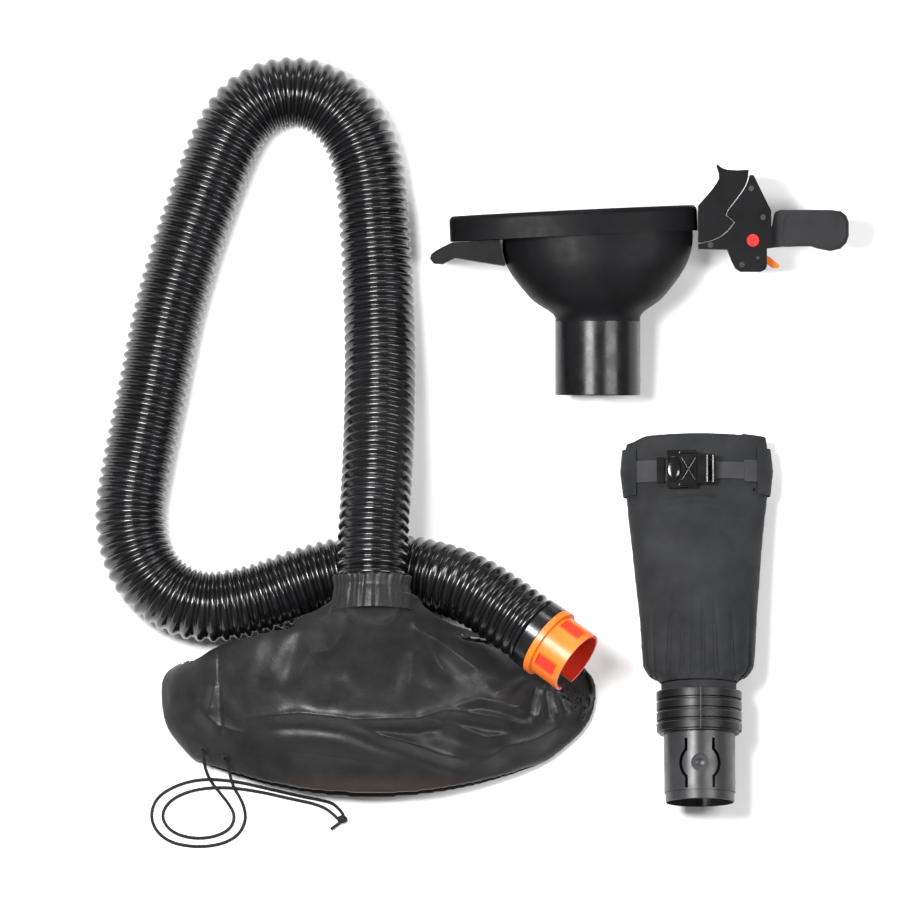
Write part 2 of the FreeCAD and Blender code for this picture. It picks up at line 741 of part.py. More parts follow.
def build_latch():
    half = "latch_depth / 2"
    horn = plate("clamp_horn", [
        (160.5, 243.5), (160.5, 303), (172, 316), (183, 329), (190, 339), (194, 347), (193, 356), (188, 371),
        (198, 363), (207, 360), (223, 359), (241, 360), (240, 348), (236, 335), (228, 322.5), (217, 308),
        (207, 295), (204, 287), (218, 276), (207, 263), (196, 254), (183, 248), (167, 244),
    ], "latch_depth - 6")
    rounded_edges(horn, 1.5, upright)
    keep(horn, "clamp_horn", copy_of(FUNNEL_FRAME))

    housing_line = [
        (160.5, 233.5), (207, 232.5), (214, 214), (220, 202), (228, 197), (260, 197), (268, 201), (270, 206),
        (270, 234), (277, 242), (277, 294), (262, 324), (249, 351), (243, 351.5), (241.5, 346), (237.5, 335),
        (229.5, 322), (218.5, 307.5), (208.5, 294.5), (206, 288), (220, 276.5), (208.5, 262), (197, 252.5),
        (183.5, 246.5), (167, 242.5), (161, 241.5),
    ]
    pin = ("lever_pin_x", "lever_pin_y", "lever_pin_od / 2")
    trigger_pin = ("trigger_pin_x", "trigger_pin_y", "trigger_pin_od / 2")
    screws = [(245, 330), (264, 284), (180, 239.5), (230, 208)]
    screw_holes = [(x, y, 2.5) for x, y in screws]
    cheek_depth = "latch_depth / 2 - latch_gap / 2"
    for side, label in ((1, "latch_housing_front"), (-1, "latch_housing_rear")):
        cheek = plate(label, housing_line, cheek_depth, [pin, trigger_pin] + screw_holes)
        rounded_edges(cheek, 1.2, upright)
        shift = side * size("latch_gap / 2 + (latch_depth / 2 - latch_gap / 2) / 2")
        cheek.Placement = Placement(Vector(0, 0, shift), Rotation())
        keep(cheek, label, copy_of(FUNNEL_FRAME))

    core_line = [
        (160.5, 233.5), (207, 232.5), (214, 214), (220, 202), (227, 199), (238, 199), (238, 214), (228, 226),
        (222, 246), (226, 262), (236, 272), (244, 290), (251, 312), (253, 336), (247, 348), (243, 348),
        (237.5, 335), (229.5, 322), (218.5, 307.5), (208.5, 294.5), (206, 288), (220, 276.5), (208.5, 262),
        (197, 252.5), (183.5, 246.5), (167, 242.5), (161, 241.5),
    ]
    core = plate("latch_core", core_line, "latch_gap", [screw_holes[0], screw_holes[2], screw_holes[3]])
    keep(core, "latch_core", copy_of(FUNNEL_FRAME))

    lever_line = [
        (262, 256), (256, 262), (247, 264), (236, 259), (231, 249), (233, 238), (243, 230), (256, 231),
        (266, 234), (284, 236), (296, 237), (340, 238), (352, 234), (372, 230), (388, 234), (397, 243),
        (401, 254), (401, 276), (397, 287), (388, 294), (372, 296), (292, 296), (284, 293), (281, 286),
        (279, 272), (273, 262),
    ]
    lever = plate("latch_lever", lever_line, "latch_gap - 2 * lever_side_gap",
                  [("lever_pin_x", "lever_pin_y", "lever_pin_od / 2 + pin_gap")])
    rounded_edges(lever, 1.5, upright)
    keep(lever, "latch_lever", copy_of(FUNNEL_FRAME))
    grip_line = [
        (300, 242), (340, 242), (354, 238), (372, 234.5), (386, 238), (393, 246), (397, 256), (397, 274),
        (393, 284), (386, 290), (372, 291.5), (310, 290), (302, 284), (298, 274), (296, 254),
    ]
    grip_depth = "(lever_depth - latch_gap) / 2 + lever_side_gap"
    for side, label in ((1, "lever_pad_front"), (-1, "lever_pad_rear")):
        pad = plate(label, grip_line, grip_depth)
        rounded_edges(pad, 2, upright)
        shift = side * (size("latch_gap / 2 - lever_side_gap") + size(grip_depth) / 2)
        pad.Placement = Placement(Vector(0, 0, shift), Rotation())
        keep(pad, label, copy_of(FUNNEL_FRAME))

    pin_body = turned("latch_pin", [
        (0, "-(%s)" % half),
        ("lever_pin_od / 2", "-(%s)" % half),
        ("lever_pin_od / 2", half),
        ("lever_pin_head_od / 2", half),
        ("lever_pin_head_od / 2", half + " + lever_pin_head_height - 0.6"),
        ("lever_pin_head_od / 2 - 0.8", half + " + lever_pin_head_height"),
        (0, half + " + lever_pin_head_height"),
    ])
    pin_body.Placement = Placement(Vector(size("lever_pin_x"), size("lever_pin_y"), 0), Rotation())
    keep(pin_body, "latch_pin", copy_of(FUNNEL_FRAME))

    trigger = plate("release_trigger", [
        (259, 227), (266, 225), (274, 221), (284, 213), (291, 207), (288, 202.5), (279, 203), (271, 209),
        (264, 211), (257, 211), (248, 208), (244, 213), (249, 222),
    ], "trigger_depth", [("trigger_pin_x", "trigger_pin_y", "trigger_pin_od / 2 + pin_gap")])
    rounded_edges(trigger, 1, upright)
    keep(trigger, "release_trigger", copy_of(FUNNEL_FRAME))

    trigger_pin_body = turned("trigger_pin", [
        (0, "-(%s) + 3" % half), ("trigger_pin_od / 2 - pin_gap / 2", "-(%s) + 3" % half),
        ("trigger_pin_od / 2 - pin_gap / 2", half), (0, half),
    ])
    trigger_pin_body.Placement = Placement(Vector(size("trigger_pin_x"), size("trigger_pin_y"), 0), Rotation())
    keep(trigger_pin_body, "trigger_pin", copy_of(FUNNEL_FRAME))

    spring = turned("trigger_spring", [
        ("trigger_pin_od / 2 + 0.4", "trigger_depth / 2 + 0.3"),
        ("trigger_pin_od / 2 + 2", "trigger_depth / 2 + 0.3"),
        ("trigger_pin_od / 2 + 2", "latch_gap / 2 - 0.3"),
        ("trigger_pin_od / 2 + 0.4", "latch_gap / 2 - 0.3"),
    ])
    spring.Placement = Placement(Vector(size("trigger_pin_x"), size("trigger_pin_y"), 0), Rotation())
    keep(spring, "trigger_spring", copy_of(FUNNEL_FRAME))

    heads = []
    for index, (x, y) in enumerate(screws):
        shank = primitive("Cylinder", "housing_screw_shank_%d" % index, Radius=2.5, Height=half + " + 4")
        placed(shank, x, y, "-4")
        head = primitive("Cylinder", "housing_screw_head_%d" % index, Radius="screw_head_od / 2",
                         Height="screw_head_height")
        placed(head, x, y, half)
        drive = primitive("Box", "housing_screw_drive_%d" % index, Length="screw_head_od + 2", Width=1.4,
                          Height="screw_head_height")
        placed(drive, x - size("screw_head_od / 2 + 1"), y - 0.7, half + " + screw_head_height / 2")
        whole = boolean("MultiFuse", "housing_screw_whole_%d" % index, shank, head)
        heads.append(boolean("Cut", "housing_screw_%d" % index, whole, drive))
    group = doc.addObject("Part::Compound", "housing_screws_group")
    group.Links = heads
    keep(group, "housing_screws", copy_of(FUNNEL_FRAME))


# ---------------------------------------------------------------- sleeve adapter
# In this item's own frame Y runs from the spigot's end to the sleeve's open top, and Z is up.
SLEEVE_STATIONS = [
    # height along Y, half width, half depth
    (0, 60, 58.5),
    (6, 66, 59.5),
    (16, 80, 60),
    (30, 88, 58),
    (90, 93, 56),
    (160, 99, 52),
    (230, 105, 48),
    (306, 113, 43),
    (345, 117.5, 40),
    (372, 115, 38),
    (401, 112, 37),
]


def sleeve_place(height):
    """Half width, half depth and sag below the spigot's axis at a height up the fabric."""
    for near, far in zip(SLEEVE_STATIONS, SLEEVE_STATIONS[1:]):
        if near[0] <= height <= far[0]:
            share = (height - near[0]) / (far[0] - near[0])
            width = near[1] + (far[1] - near[1]) * share
            depth = near[2] + (far[2] - near[2]) * share
            return width, depth, sleeve_sag(height, depth)
    raise ValueError("outside the sleeve")


def sleeve_sag(height, half_depth):
    """The fabric rests on the surface, except at the neck, where it is centred on the spigot."""
    resting = half_depth + size("sleeve_floor_gap") - size("sleeve_axis_height")
    return resting * min(1, height / size("sleeve_settle_length"))


def sleeve_base():
    return size("spigot_length + rib_collar_length + neck_length")


def sleeve_ring(name, low, high, grow_in, grow_out):
    """A band round the sleeve between two heights, standing off its outside."""
    solids = []
    between = [station[0] for station in SLEEVE_STATIONS if low < station[0] < high]
    for side, grow in (("out", grow_out), ("in", grow_in)):
        extra = 0 if side == "out" else 1
        sections = []
        for index, height in enumerate([low - extra] + between + [high + extra]):
            width, depth, sag = sleeve_place(height)
            sections.append(ellipse("%s_%s_%d" % (name, side, index), width + grow, depth + grow, 0,
                                    sleeve_base() + height, sag, FACING_Y))
        solids.append(loft("%s_%s" % (name, side), sections, True))
    return boolean("Cut", name + "_ring", *solids)


def block(name, low, high):
    """A box between two corners."""
    made = primitive("Box", name, Length=high[0] - low[0], Width=high[1] - low[1], Height=high[2] - low[2])
    return placed(made, *low)


def build_sleeve():
    sag_of = [sleeve_sag(height, depth) for height, _, depth in SLEEVE_STATIONS]

    def fabric_loft(name, inset, extra):
        sections = []
        last = len(SLEEVE_STATIONS) - 1
        for index, (height, width, depth) in enumerate(SLEEVE_STATIONS):
            place = height - (extra if index == 0 else 0) + (extra if index == last else 0)
            sections.append(ellipse("%s_%d" % (name, index), width - inset, depth - inset, 0,
                                    sleeve_base() + place, sag_of[index], FACING_Y))
        return loft(name + "_loft", sections, True)

    wall = size("sleeve_wall")
    tube = boolean("Cut", "sleeve_tube", fabric_loft("sleeve_out", 0, 0), fabric_loft("sleeve_in", wall, 1))
    doc.recompute()
    hem_low = sleeve_base() + 377
    top = block("sleeve_top_zone", (-200, hem_low, -200), (200, hem_low + 100, 200))
    keep(boolean("Cut", "sleeve_fabric_cut", tube, top), "sleeve_fabric", copy_of(SLEEVE_FRAME))
    tube_again = boolean("Cut", "sleeve_tube_again", fabric_loft("hem_out", 0, 0), fabric_loft("hem_in", wall, 1))
    top_again = block("hem_zone", (-200, hem_low, -200), (200, hem_low + 100, 200))
    keep(boolean("MultiCommon", "sleeve_hem_common", tube_again, top_again), "sleeve_hem",
         copy_of(SLEEVE_FRAME))

    neck = turned("neck_band", [
        ("spigot_od / 2", "spigot_length + rib_collar_length"),
        ("neck_od / 2", "spigot_length + rib_collar_length"),
        ("neck_od / 2", "spigot_length + rib_collar_length + neck_length"),
        ("spigot_od / 2", "spigot_length + rib_collar_length + neck_length"),
    ])
    neck.Placement = Placement(Vector(), ALONG_Y)
    keep(neck, "neck_band", copy_of(SLEEVE_FRAME))
    build_strap()


def build_strap():
    middle = size("strap_centre") - sleeve_base()
    low = middle - size("strap_width / 2")
    high = middle + size("strap_width / 2")
    gap, thick = size("strap_gap"), size("strap_thickness")
    centre_y = size("strap_centre")
    half_buckle = size("(buckle_male_length + buckle_female_length) / 2")
    buckle_x = size("buckle_x")
    right_end = 76.0

    band = sleeve_ring("strap_band", low, high, gap, gap + thick)
    window = block("strap_window", (buckle_x - half_buckle + 6, centre_y - 100, 0),
                   (right_end, centre_y + 100, 200))
    keep(boolean("Cut", "strap_webbing_cut", band, window), "strap_webbing", copy_of(SLEEVE_FRAME))
    band_again = sleeve_ring("strap_end", low + 4, high - 4, gap, gap + thick)
    zone = block("strap_end_zone", (buckle_x + half_buckle + 0.5, centre_y - 100, 0),
                 (right_end - 0.3, centre_y + 100, 200))
    keep(boolean("MultiCommon", "strap_end_common", band_again, zone), "strap_end", copy_of(SLEEVE_FRAME))

    for side, label in ((-1, "belt_loop_left"), (1, "belt_loop_right")):
        loop_low = middle - size("loop_width / 2")
        loop_high = middle + size("loop_width / 2")
        loop = sleeve_ring(label, loop_low, loop_high, gap + thick + gap, gap + 2 * thick + gap)
        near, far = sorted((side * 97, side * 160))
        zone = block(label + "_zone", (near, centre_y - 100, -200), (far, centre_y + 100, 200))
        keep(boolean("MultiCommon", label + "_common", loop, zone), label, copy_of(SLEEVE_FRAME))

    keeper_low = size("strap_centre - strap_width / 2") - 3
    keeper_high = size("strap_centre + strap_width / 2") + 3
    keeper_x = -58
    width, depth, sag = sleeve_place(middle)
    keeper_top = sag + depth * math.sqrt(1 - (keeper_x / width) ** 2) + 5.9
    frame = block("keeper_frame", (keeper_x - 6, keeper_low, keeper_top),
                  (keeper_x + 6, keeper_high, keeper_top + 3.2))
    keep(frame, "strap_keeper", copy_of(SLEEVE_FRAME))

    _, deepest, lowest_sag = sleeve_place(middle - size("buckle_width / 2"))
    top = lowest_sag + deepest + gap + 0.4
    y_low = centre_y - size("buckle_width / 2")
    y_high = centre_y + size("buckle_width / 2")
    split = buckle_x - half_buckle + size("buckle_female_length")
    female_low = buckle_x - half_buckle
    male_high = buckle_x + half_buckle
    thick = size("buckle_thickness")
    side_open = 12
    shell = block("buckle_shell", (female_low, y_low, top), (split, y_high, top + thick))
    cavity = block("buckle_cavity", (female_low + 12, y_low + 8, top + 3), (split + 1, y_high - 8, top + thick - 3))
    left_window = block("buckle_side_low", (split - 26, y_low - 1, top + 3),
                        (split - 26 + side_open, y_low + 9, top + thick - 3))
    right_window = block("buckle_side_high", (split - 26, y_high - 9, top + 3),
                         (split - 26 + side_open, y_high + 1, top + thick - 3))
    keep(boolean("Cut", "buckle_female_cut", shell, cavity, left_window, right_window), "buckle_female",
         copy_of(SLEEVE_FRAME))
    play = 0.4
    base = block("buckle_male_base", (split + play, y_low + 6, top), (male_high, y_high - 6, top + thick - 2))
    prong_low = block("buckle_prong_low", (split - 24, y_low + 8 + play, top + 3 + play),
                      (split + play + 1, y_low + 14, top + thick - 3 - play))
    prong_high = block("buckle_prong_high", (split - 24, y_high - 14, top + 3 + play),
                       (split + play + 1, y_high - 8 - play, top + thick - 3 - play))
    guide = block("buckle_guide", (split - 16, centre_y - 4, top + 3 + play),
                  (split + play + 1, centre_y + 4, top + thick - 3 - play))
    slot = block("buckle_slot", (male_high - 10, y_low + 11, top - 1), (male_high - 6, y_high - 11, top + thick))
    solid = boolean("MultiFuse", "buckle_male_solid", base, prong_low, prong_high, guide)
    keep(boolean("Cut", "buckle_male_cut", solid, slot), "buckle_male", copy_of(SLEEVE_FRAME))


def build_spigot():
    outer = "spigot_od / 2"
    tube = turned("spigot_body", [
        (outer + " - spigot_wall", 0),
        (outer + " - spigot_lead_step - 1", 0),
        (outer + " - spigot_lead_step", 1),
        (outer + " - spigot_lead_step", "spigot_lead + 1"),
        (outer, "spigot_lead + 1"),
        (outer, "spigot_length + rib_collar_length + neck_length - 1"),
        (outer + " - spigot_wall", "spigot_length + rib_collar_length + neck_length - 1"),
    ])
    tube.Placement = Placement(Vector(), ALONG_Y)
    tools = []
    for side in (-1, 1):
        name = "tongue_slot_left" if side < 0 else "tongue_slot_right"
        wide = primitive("Cylinder", name + "_wide", Radius="slot_bow_radius + slot_width / 2", Height=60)
        placed(wide, 0, "tongue_centre", 20)
        slim = primitive("Cylinder", name + "_slim", Radius="slot_bow_radius - slot_width / 2", Height=62)
        placed(slim, 0, "tongue_centre", 19)
        ring = boolean("Cut", name + "_ring", wide, slim)
        zone = primitive("Box", name + "_zone", Length=24, Width="2 * tongue_half_length", Height=60)
        edge = "slot_straight_x - slot_width / 2" if side > 0 else "-slot_straight_x + slot_width / 2 - 24"
        placed(zone, edge, "tongue_centre - tongue_half_length", 20)
        tools.append(boolean("MultiCommon", name, ring, zone))
        for end in (-1, 1):
            straight = primitive("Box", "%s_end_%d" % (name, end + 1), Length="slot_width",
                                 Width="tongue_half_length - slot_bend_y", Height=60)
            low = "slot_bend_y" if end > 0 else "-tongue_half_length"
            placed(straight, "%d * slot_straight_x - slot_width / 2" % side, "tongue_centre + " + low, 20)
            tools.append(straight)
    hole = primitive("Cylinder", "button_hole", Radius="button_od / 2 + button_gap", Height=60)
    tools.append(placed(hole, 0, "tongue_centre", 20))
    keep(boolean("Cut", "spigot_cut", tube, *tools), "spigot", copy_of(SLEEVE_FRAME))

    button_top = "spigot_od / 2 - 2.2"
    button = primitive("Cylinder", "button_disc", Radius="button_od / 2", Height=5)
    placed(button, 0, "tongue_centre", button_top + " - 5")
    dish = primitive("Sphere", "button_dish", Radius=20)
    placed(dish, 0, "tongue_centre", button_top + " + 18.6")
    keep(boolean("Cut", "button_cut", button, dish), "snap_button", copy_of(SLEEVE_FRAME))

    cage = primitive("Box", "cage_bar", Length=14, Width="button_od + 24", Height=2)
    placed(cage, -7, "tongue_centre - button_od / 2 - 12", button_top + " - 17")
    post_low = primitive("Box", "cage_post_low", Length=14, Width=5, Height=15.4)
    placed(post_low, -7, "tongue_centre - button_od / 2 - 12", button_top + " - 17")
    post_high = primitive("Box", "cage_post_high", Length=14, Width=5, Height=15.4)
    placed(post_high, -7, "tongue_centre + button_od / 2 + 7", button_top + " - 17")
    keep(boolean("MultiFuse", "cage_fuse", cage, post_low, post_high), "button_cage", copy_of(SLEEVE_FRAME))
    coil_out = primitive("Cylinder", "spring_out", Radius=6, Height=9.6)
    placed(coil_out, 0, "tongue_centre", button_top + " - 14.8")
    coil_in = primitive("Cylinder", "spring_in", Radius=4.6, Height=12)
    placed(coil_in, 0, "tongue_centre", button_top + " - 16")
    keep(boolean("Cut", "spring_cut", coil_out, coil_in), "snap_spring", copy_of(SLEEVE_FRAME))

    rib = "rib_collar_od / 2"
    groove = "rib_collar_od / 2 - rib_collar_groove"
    points = [("spigot_od / 2", "spigot_length")]
    bands = 4
    for band in range(bands):
        low = "spigot_length + rib_collar_length * %g" % (band / bands)
        points += [
            (groove, low),
            (groove, low + " + 2.4"),
            (rib, low + " + 3.6"),
            (rib, low + " + rib_collar_length / %d - 1.2" % bands),
        ]
    points += [
        (groove, "spigot_length + rib_collar_length"),
        ("spigot_od / 2", "spigot_length + rib_collar_length"),
    ]
    collar = turned("ribbed_collar", points)
    collar.Placement = Placement(Vector(), ALONG_Y)
    keep(collar, "ribbed_collar", copy_of(SLEEVE_FRAME))


build_hose()
build_hose_ends()
build_connector()
build_cover()
build_drawstring()
build_funnel()
build_latch()
build_sleeve()
build_spigot()
doc.recompute()

faults = []
for made in doc.Objects:
    if "Invalid" in made.State or "Error" in made.State:
        faults.append("%s: %s" % (made.Label, made.State))
for made in PARTS:
    if made.Shape.isNull() or not made.Shape.isValid():
        faults.append("%s: shape is null or not valid" % made.Label)
    elif not made.Shape.Solids:
        faults.append("%s: no solid" % made.Label)
if faults:
    raise SystemExit("\n".join(faults))

os.makedirs("parts", exist_ok=True)
for made in PARTS:
    made.Shape.exportStep("parts/%s.step" % made.Label)
print("%d parts written, funnel tilt %.2f degrees" % (len(PARTS), FUNNEL_TILT))
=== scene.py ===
import json
import math
import random

import bmesh
import bpy
import numpy as np
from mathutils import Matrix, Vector
from mathutils.kdtree import KDTree


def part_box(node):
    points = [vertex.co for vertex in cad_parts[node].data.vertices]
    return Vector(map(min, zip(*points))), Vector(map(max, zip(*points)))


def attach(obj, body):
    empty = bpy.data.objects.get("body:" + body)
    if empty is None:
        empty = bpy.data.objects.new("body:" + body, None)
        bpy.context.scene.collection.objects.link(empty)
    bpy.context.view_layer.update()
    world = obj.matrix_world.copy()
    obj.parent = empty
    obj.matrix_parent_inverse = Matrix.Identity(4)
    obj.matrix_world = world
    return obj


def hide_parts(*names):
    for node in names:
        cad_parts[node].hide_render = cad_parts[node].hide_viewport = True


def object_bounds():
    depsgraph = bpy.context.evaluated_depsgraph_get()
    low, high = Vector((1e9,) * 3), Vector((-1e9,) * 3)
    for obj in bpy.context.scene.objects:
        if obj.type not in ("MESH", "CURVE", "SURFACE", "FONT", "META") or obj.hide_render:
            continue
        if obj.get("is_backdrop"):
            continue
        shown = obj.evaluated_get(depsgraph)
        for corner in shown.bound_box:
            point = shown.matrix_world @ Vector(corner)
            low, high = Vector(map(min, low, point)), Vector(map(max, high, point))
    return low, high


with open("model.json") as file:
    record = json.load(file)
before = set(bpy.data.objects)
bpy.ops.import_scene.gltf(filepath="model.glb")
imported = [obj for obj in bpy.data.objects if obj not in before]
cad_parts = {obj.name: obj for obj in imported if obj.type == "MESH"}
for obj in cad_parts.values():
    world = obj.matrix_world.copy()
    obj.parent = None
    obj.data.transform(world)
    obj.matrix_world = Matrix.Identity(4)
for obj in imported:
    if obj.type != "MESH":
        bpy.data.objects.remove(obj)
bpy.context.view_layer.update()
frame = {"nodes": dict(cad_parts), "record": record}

NODES = frame["nodes"]
HOSE_DIAMETER = 0.114
CORD_DIAMETER = 0.005


# ---------------------------------------------------------------- small helpers
def lerp(a, b, share):
    return a + (b - a) * share


def new_mesh(name, vertices, faces, smooth=True):
    """A mesh object in the scene."""
    mesh = bpy.data.meshes.new(name)
    mesh.from_pydata(vertices, [], faces)
    mesh.validate()
    if smooth:
        mesh.polygons.foreach_set("use_smooth", [True] * len(mesh.polygons))
    made = bpy.data.objects.new(name, mesh)
    bpy.context.scene.collection.objects.link(made)
    return made


def apply_modifiers(piece):
    """Turn a piece's modifiers into its mesh."""
    graph = bpy.context.evaluated_depsgraph_get()
    graph.update()
    mesh = bpy.data.meshes.new_from_object(piece.evaluated_get(graph), depsgraph=graph)
    piece.modifiers.clear()
    piece.data = mesh
    return piece


def spline_curve(name, points):
    """A NURBS curve object through the given control points."""
    data = bpy.data.curves.new(name, "CURVE")
    data.dimensions = "3D"
    data.resolution_u = 12
    spline = data.splines.new("NURBS")
    spline.points.add(len(points) - 1)
    for point, place in zip(spline.points, points):
        point.co = (*place, 1.0)
    spline.order_u = 3
    spline.use_endpoint_u = True
    made = bpy.data.objects.new(name, data)
    bpy.context.scene.collection.objects.link(made)
    return made


def read_line(curve):
    """The points along a curve's spline and their running length."""
    graph = bpy.context.evaluated_depsgraph_get()
    graph.update()
    mesh = bpy.data.meshes.new_from_object(curve.evaluated_get(graph), depsgraph=graph)
    points = [v.co.copy() for v in mesh.vertices]
    lengths = [0.0]
    for a, b in zip(points, points[1:]):
        lengths.append(lengths[-1] + (b - a).length)
    bpy.data.meshes.remove(mesh)
    return points, lengths


def frames_along(points, lengths, stations):
    """Place, tangent and an untwisted side direction at each distance along a line."""
    found = []
    index = 0
    side = None
    for distance in stations:
        while index < len(lengths) - 2 and lengths[index + 1] < distance:
            index += 1
        span = max(1e-9, lengths[index + 1] - lengths[index])
        share = min(1.0, max(0.0, (distance - lengths[index]) / span))
        place = points[index].lerp(points[index + 1], share)
        before = (points[index + 1] - points[index]).normalized()
        after_index = min(index + 2, len(points) - 1)
        after = (points[after_index] - points[index + 1])
        after = after.normalized() if after.length > 1e-9 else before
        back = (points[index] - points[max(0, index - 1)])
        back = back.normalized() if back.length > 1e-9 else before
        start_tangent = (back + before).normalized()
        end_tangent = (before + after).normalized()
        tangent = start_tangent.lerp(end_tangent, share).normalized()
        if side is None:
            side = tangent.cross(Vector((0, 0, 1))).normalized()
        side = (side - tangent * side.dot(tangent)).normalized()
        found.append((place, tangent, side))
    return found


# ---------------------------------------------------------------- materials
def shader(name, color, roughness, specular=0.5, metallic=0.0):
    """A principled material with its plain values on the shader's own sockets."""
    material = bpy.data.materials.new(name)
    material.use_nodes = True
    principled = material.node_tree.nodes["Principled BSDF"]
    principled.inputs["Base Color"].default_value = (*color, 1.0)
    principled.inputs["Roughness"].default_value = roughness
    principled.inputs["Specular IOR Level"].default_value = specular
    principled.inputs["Metallic"].default_value = metallic
    return material


def node(material, kind, **values):
    """Add a shader node and set its properties or its input sockets."""
    made = material.node_tree.nodes.new(kind)
    for key, value in values.items():
        if hasattr(made, key):
            setattr(made, key, value)
        else:
            made.inputs[key.replace("_", " ").title()].default_value = value
    return made


def link(material, out, into):
    material.node_tree.links.new(out, into)


def coordinates(material, kind="Object"):
    return node(material, "ShaderNodeTexCoord").outputs[kind]


def noise(material, scale, detail=3.0, roughness=0.55, kind="Object", stretch=None):
    """A noise texture in the piece's own coordinates, in metres."""
    made = node(material, "ShaderNodeTexNoise", Scale=scale, Detail=detail, Roughness=roughness)
    source = coordinates(material, kind)
    if stretch:
        mapping = node(material, "ShaderNodeMapping")
        mapping.inputs["Scale"].default_value = stretch
        link(material, source, mapping.inputs["Vector"])
        source = mapping.outputs["Vector"]
    link(material, source, made.inputs["Vector"])
    return made.outputs["Fac"]


def vary_color(material, factor, dark, light, low=0.3, high=0.7):
    ramp = node(material, "ShaderNodeValToRGB")
    ramp.color_ramp.elements[0].position = low
    ramp.color_ramp.elements[0].color = (*dark, 1.0)
    ramp.color_ramp.elements[1].position = high
    ramp.color_ramp.elements[1].color = (*light, 1.0)
    link(material, factor, ramp.inputs["Fac"])
    link(material, ramp.outputs["Color"], material.node_tree.nodes["Principled BSDF"].inputs["Base Color"])


def vary_roughness(material, factor, low, high):
    ranged = node(material, "ShaderNodeMapRange")
    ranged.inputs["From Min"].default_value = 0.3
    ranged.inputs["From Max"].default_value = 0.7
    ranged.inputs["To Min"].default_value = low
    ranged.inputs["To Max"].default_value = high
    link(material, factor, ranged.inputs["Value"])
    link(material, ranged.outputs["Result"], material.node_tree.nodes["Principled BSDF"].inputs["Roughness"])


def bump(material, height, strength, distance):
    """Stack a bump on the shader's normal."""
    principled = material.node_tree.nodes["Principled BSDF"]
    made = node(material, "ShaderNodeBump")
    made.inputs["Strength"].default_value = strength
    made.inputs["Distance"].default_value = distance
    link(material, height, made.inputs["Height"])
    before = principled.inputs["Normal"].links
    if before:
        link(material, before[0].from_socket, made.inputs["Normal"])
    link(material, made.outputs["Normal"], principled.inputs["Normal"])


def moulded(name, dark, light, roughness, grain_scale, grain, specular):
    """Moulded plastic: faint flow marks, uneven gloss and a fine grain."""
    made = shader(name, light, roughness, specular)
    cloud = noise(made, 14.0, 4.0)
    vary_color(made, cloud, dark, light)
    vary_roughness(made, noise(made, 38.0, 5.0), roughness - 0.06, roughness + 0.08)
    bump(made, noise(made, grain_scale, 2.0), grain, 0.0004)
    return made


def woven(name, dark, light, roughness, threads, strength, sheen, crease, specular):
    """Plain weave: two crossed sets of threads, cloudy colour and small soft creases."""
    made = shader(name, light, roughness, specular)
    principled = made.node_tree.nodes["Principled BSDF"]
    principled.inputs["Sheen Weight"].default_value = sheen
    principled.inputs["Sheen Roughness"].default_value = 0.45
    waves = []
    for direction in ("X", "Y"):
        wave = node(made, "ShaderNodeTexWave", bands_direction=direction, Scale=threads,
                    Distortion=1.2, Detail=1.0)
        link(made, coordinates(made), wave.inputs["Vector"])
        waves.append(wave.outputs["Fac"])
    both = node(made, "ShaderNodeMath", operation="MULTIPLY")
    link(made, waves[0], both.inputs[0])
    link(made, waves[1], both.inputs[1])
    vary_color(made, noise(made, 16.0, 6.0), dark, light)
    vary_roughness(made, noise(made, 45.0, 4.0), roughness - 0.07, roughness + 0.1)
    bump(made, both.outputs["Value"], strength, 0.0003)
    bump(made, noise(made, 26.0, 5.0, 0.6), crease, 0.003)
    return made


def paint_shade_near_axis(material, axis_point, axis, near, far, painted_shade_colour):
    """Painted shade: blend the colour towards a deeper one close to an axis, darkening the hollows of a
    moulding as shade would.
    """
    principled = material.node_tree.nodes["Principled BSDF"]
    offset = node(material, "ShaderNodeVectorMath", operation="SUBTRACT")
    link(material, coordinates(material), offset.inputs[0])
    offset.inputs[1].default_value = axis_point
    across = node(material, "ShaderNodeVectorMath", operation="CROSS_PRODUCT")
    link(material, offset.outputs["Vector"], across.inputs[0])
    across.inputs[1].default_value = axis
    length = node(material, "ShaderNodeVectorMath", operation="LENGTH")
    link(material, across.outputs["Vector"], length.inputs[0])
    ranged = node(material, "ShaderNodeMapRange")
    ranged.inputs["From Min"].default_value = near
    ranged.inputs["From Max"].default_value = far
    link(material, length.outputs["Value"], ranged.inputs["Value"])
    mixed = node(material, "ShaderNodeMix", data_type="RGBA")
    before = principled.inputs["Base Color"].links[0].from_socket
    link(material, ranged.outputs["Result"], mixed.inputs["Factor"])
    mixed.inputs[6].default_value = (*painted_shade_colour, 1.0)
    link(material, before, mixed.inputs[7])
    link(material, mixed.outputs[2], principled.inputs["Base Color"])


def paint_shadow_along(material, axis, low, high, shadow_tint):
    """Painted shadow: blend the colour towards a tint along one world axis of the rest pose, low to high."""
    principled = material.node_tree.nodes["Principled BSDF"]
    parts = node(material, "ShaderNodeSeparateXYZ")
    link(material, coordinates(material), parts.inputs["Vector"])
    ranged = node(material, "ShaderNodeMapRange")
    ranged.inputs["From Min"].default_value = low
    ranged.inputs["From Max"].default_value = high
    link(material, parts.outputs[axis], ranged.inputs["Value"])
    mixed = node(material, "ShaderNodeMix", data_type="RGBA")
    before = principled.inputs["Base Color"].links[0].from_socket
    link(material, ranged.outputs["Result"], mixed.inputs["Factor"])
    link(material, before, mixed.inputs[6])
    mixed.inputs[7].default_value = (*shadow_tint, 1.0)
    link(material, mixed.outputs[2], principled.inputs["Base Color"])


CONNECTOR_CENTRE = (0.2656, 0.0795, 0.128)
CONNECTOR_AXIS = (0.7708, -0.6022, 0.2079)


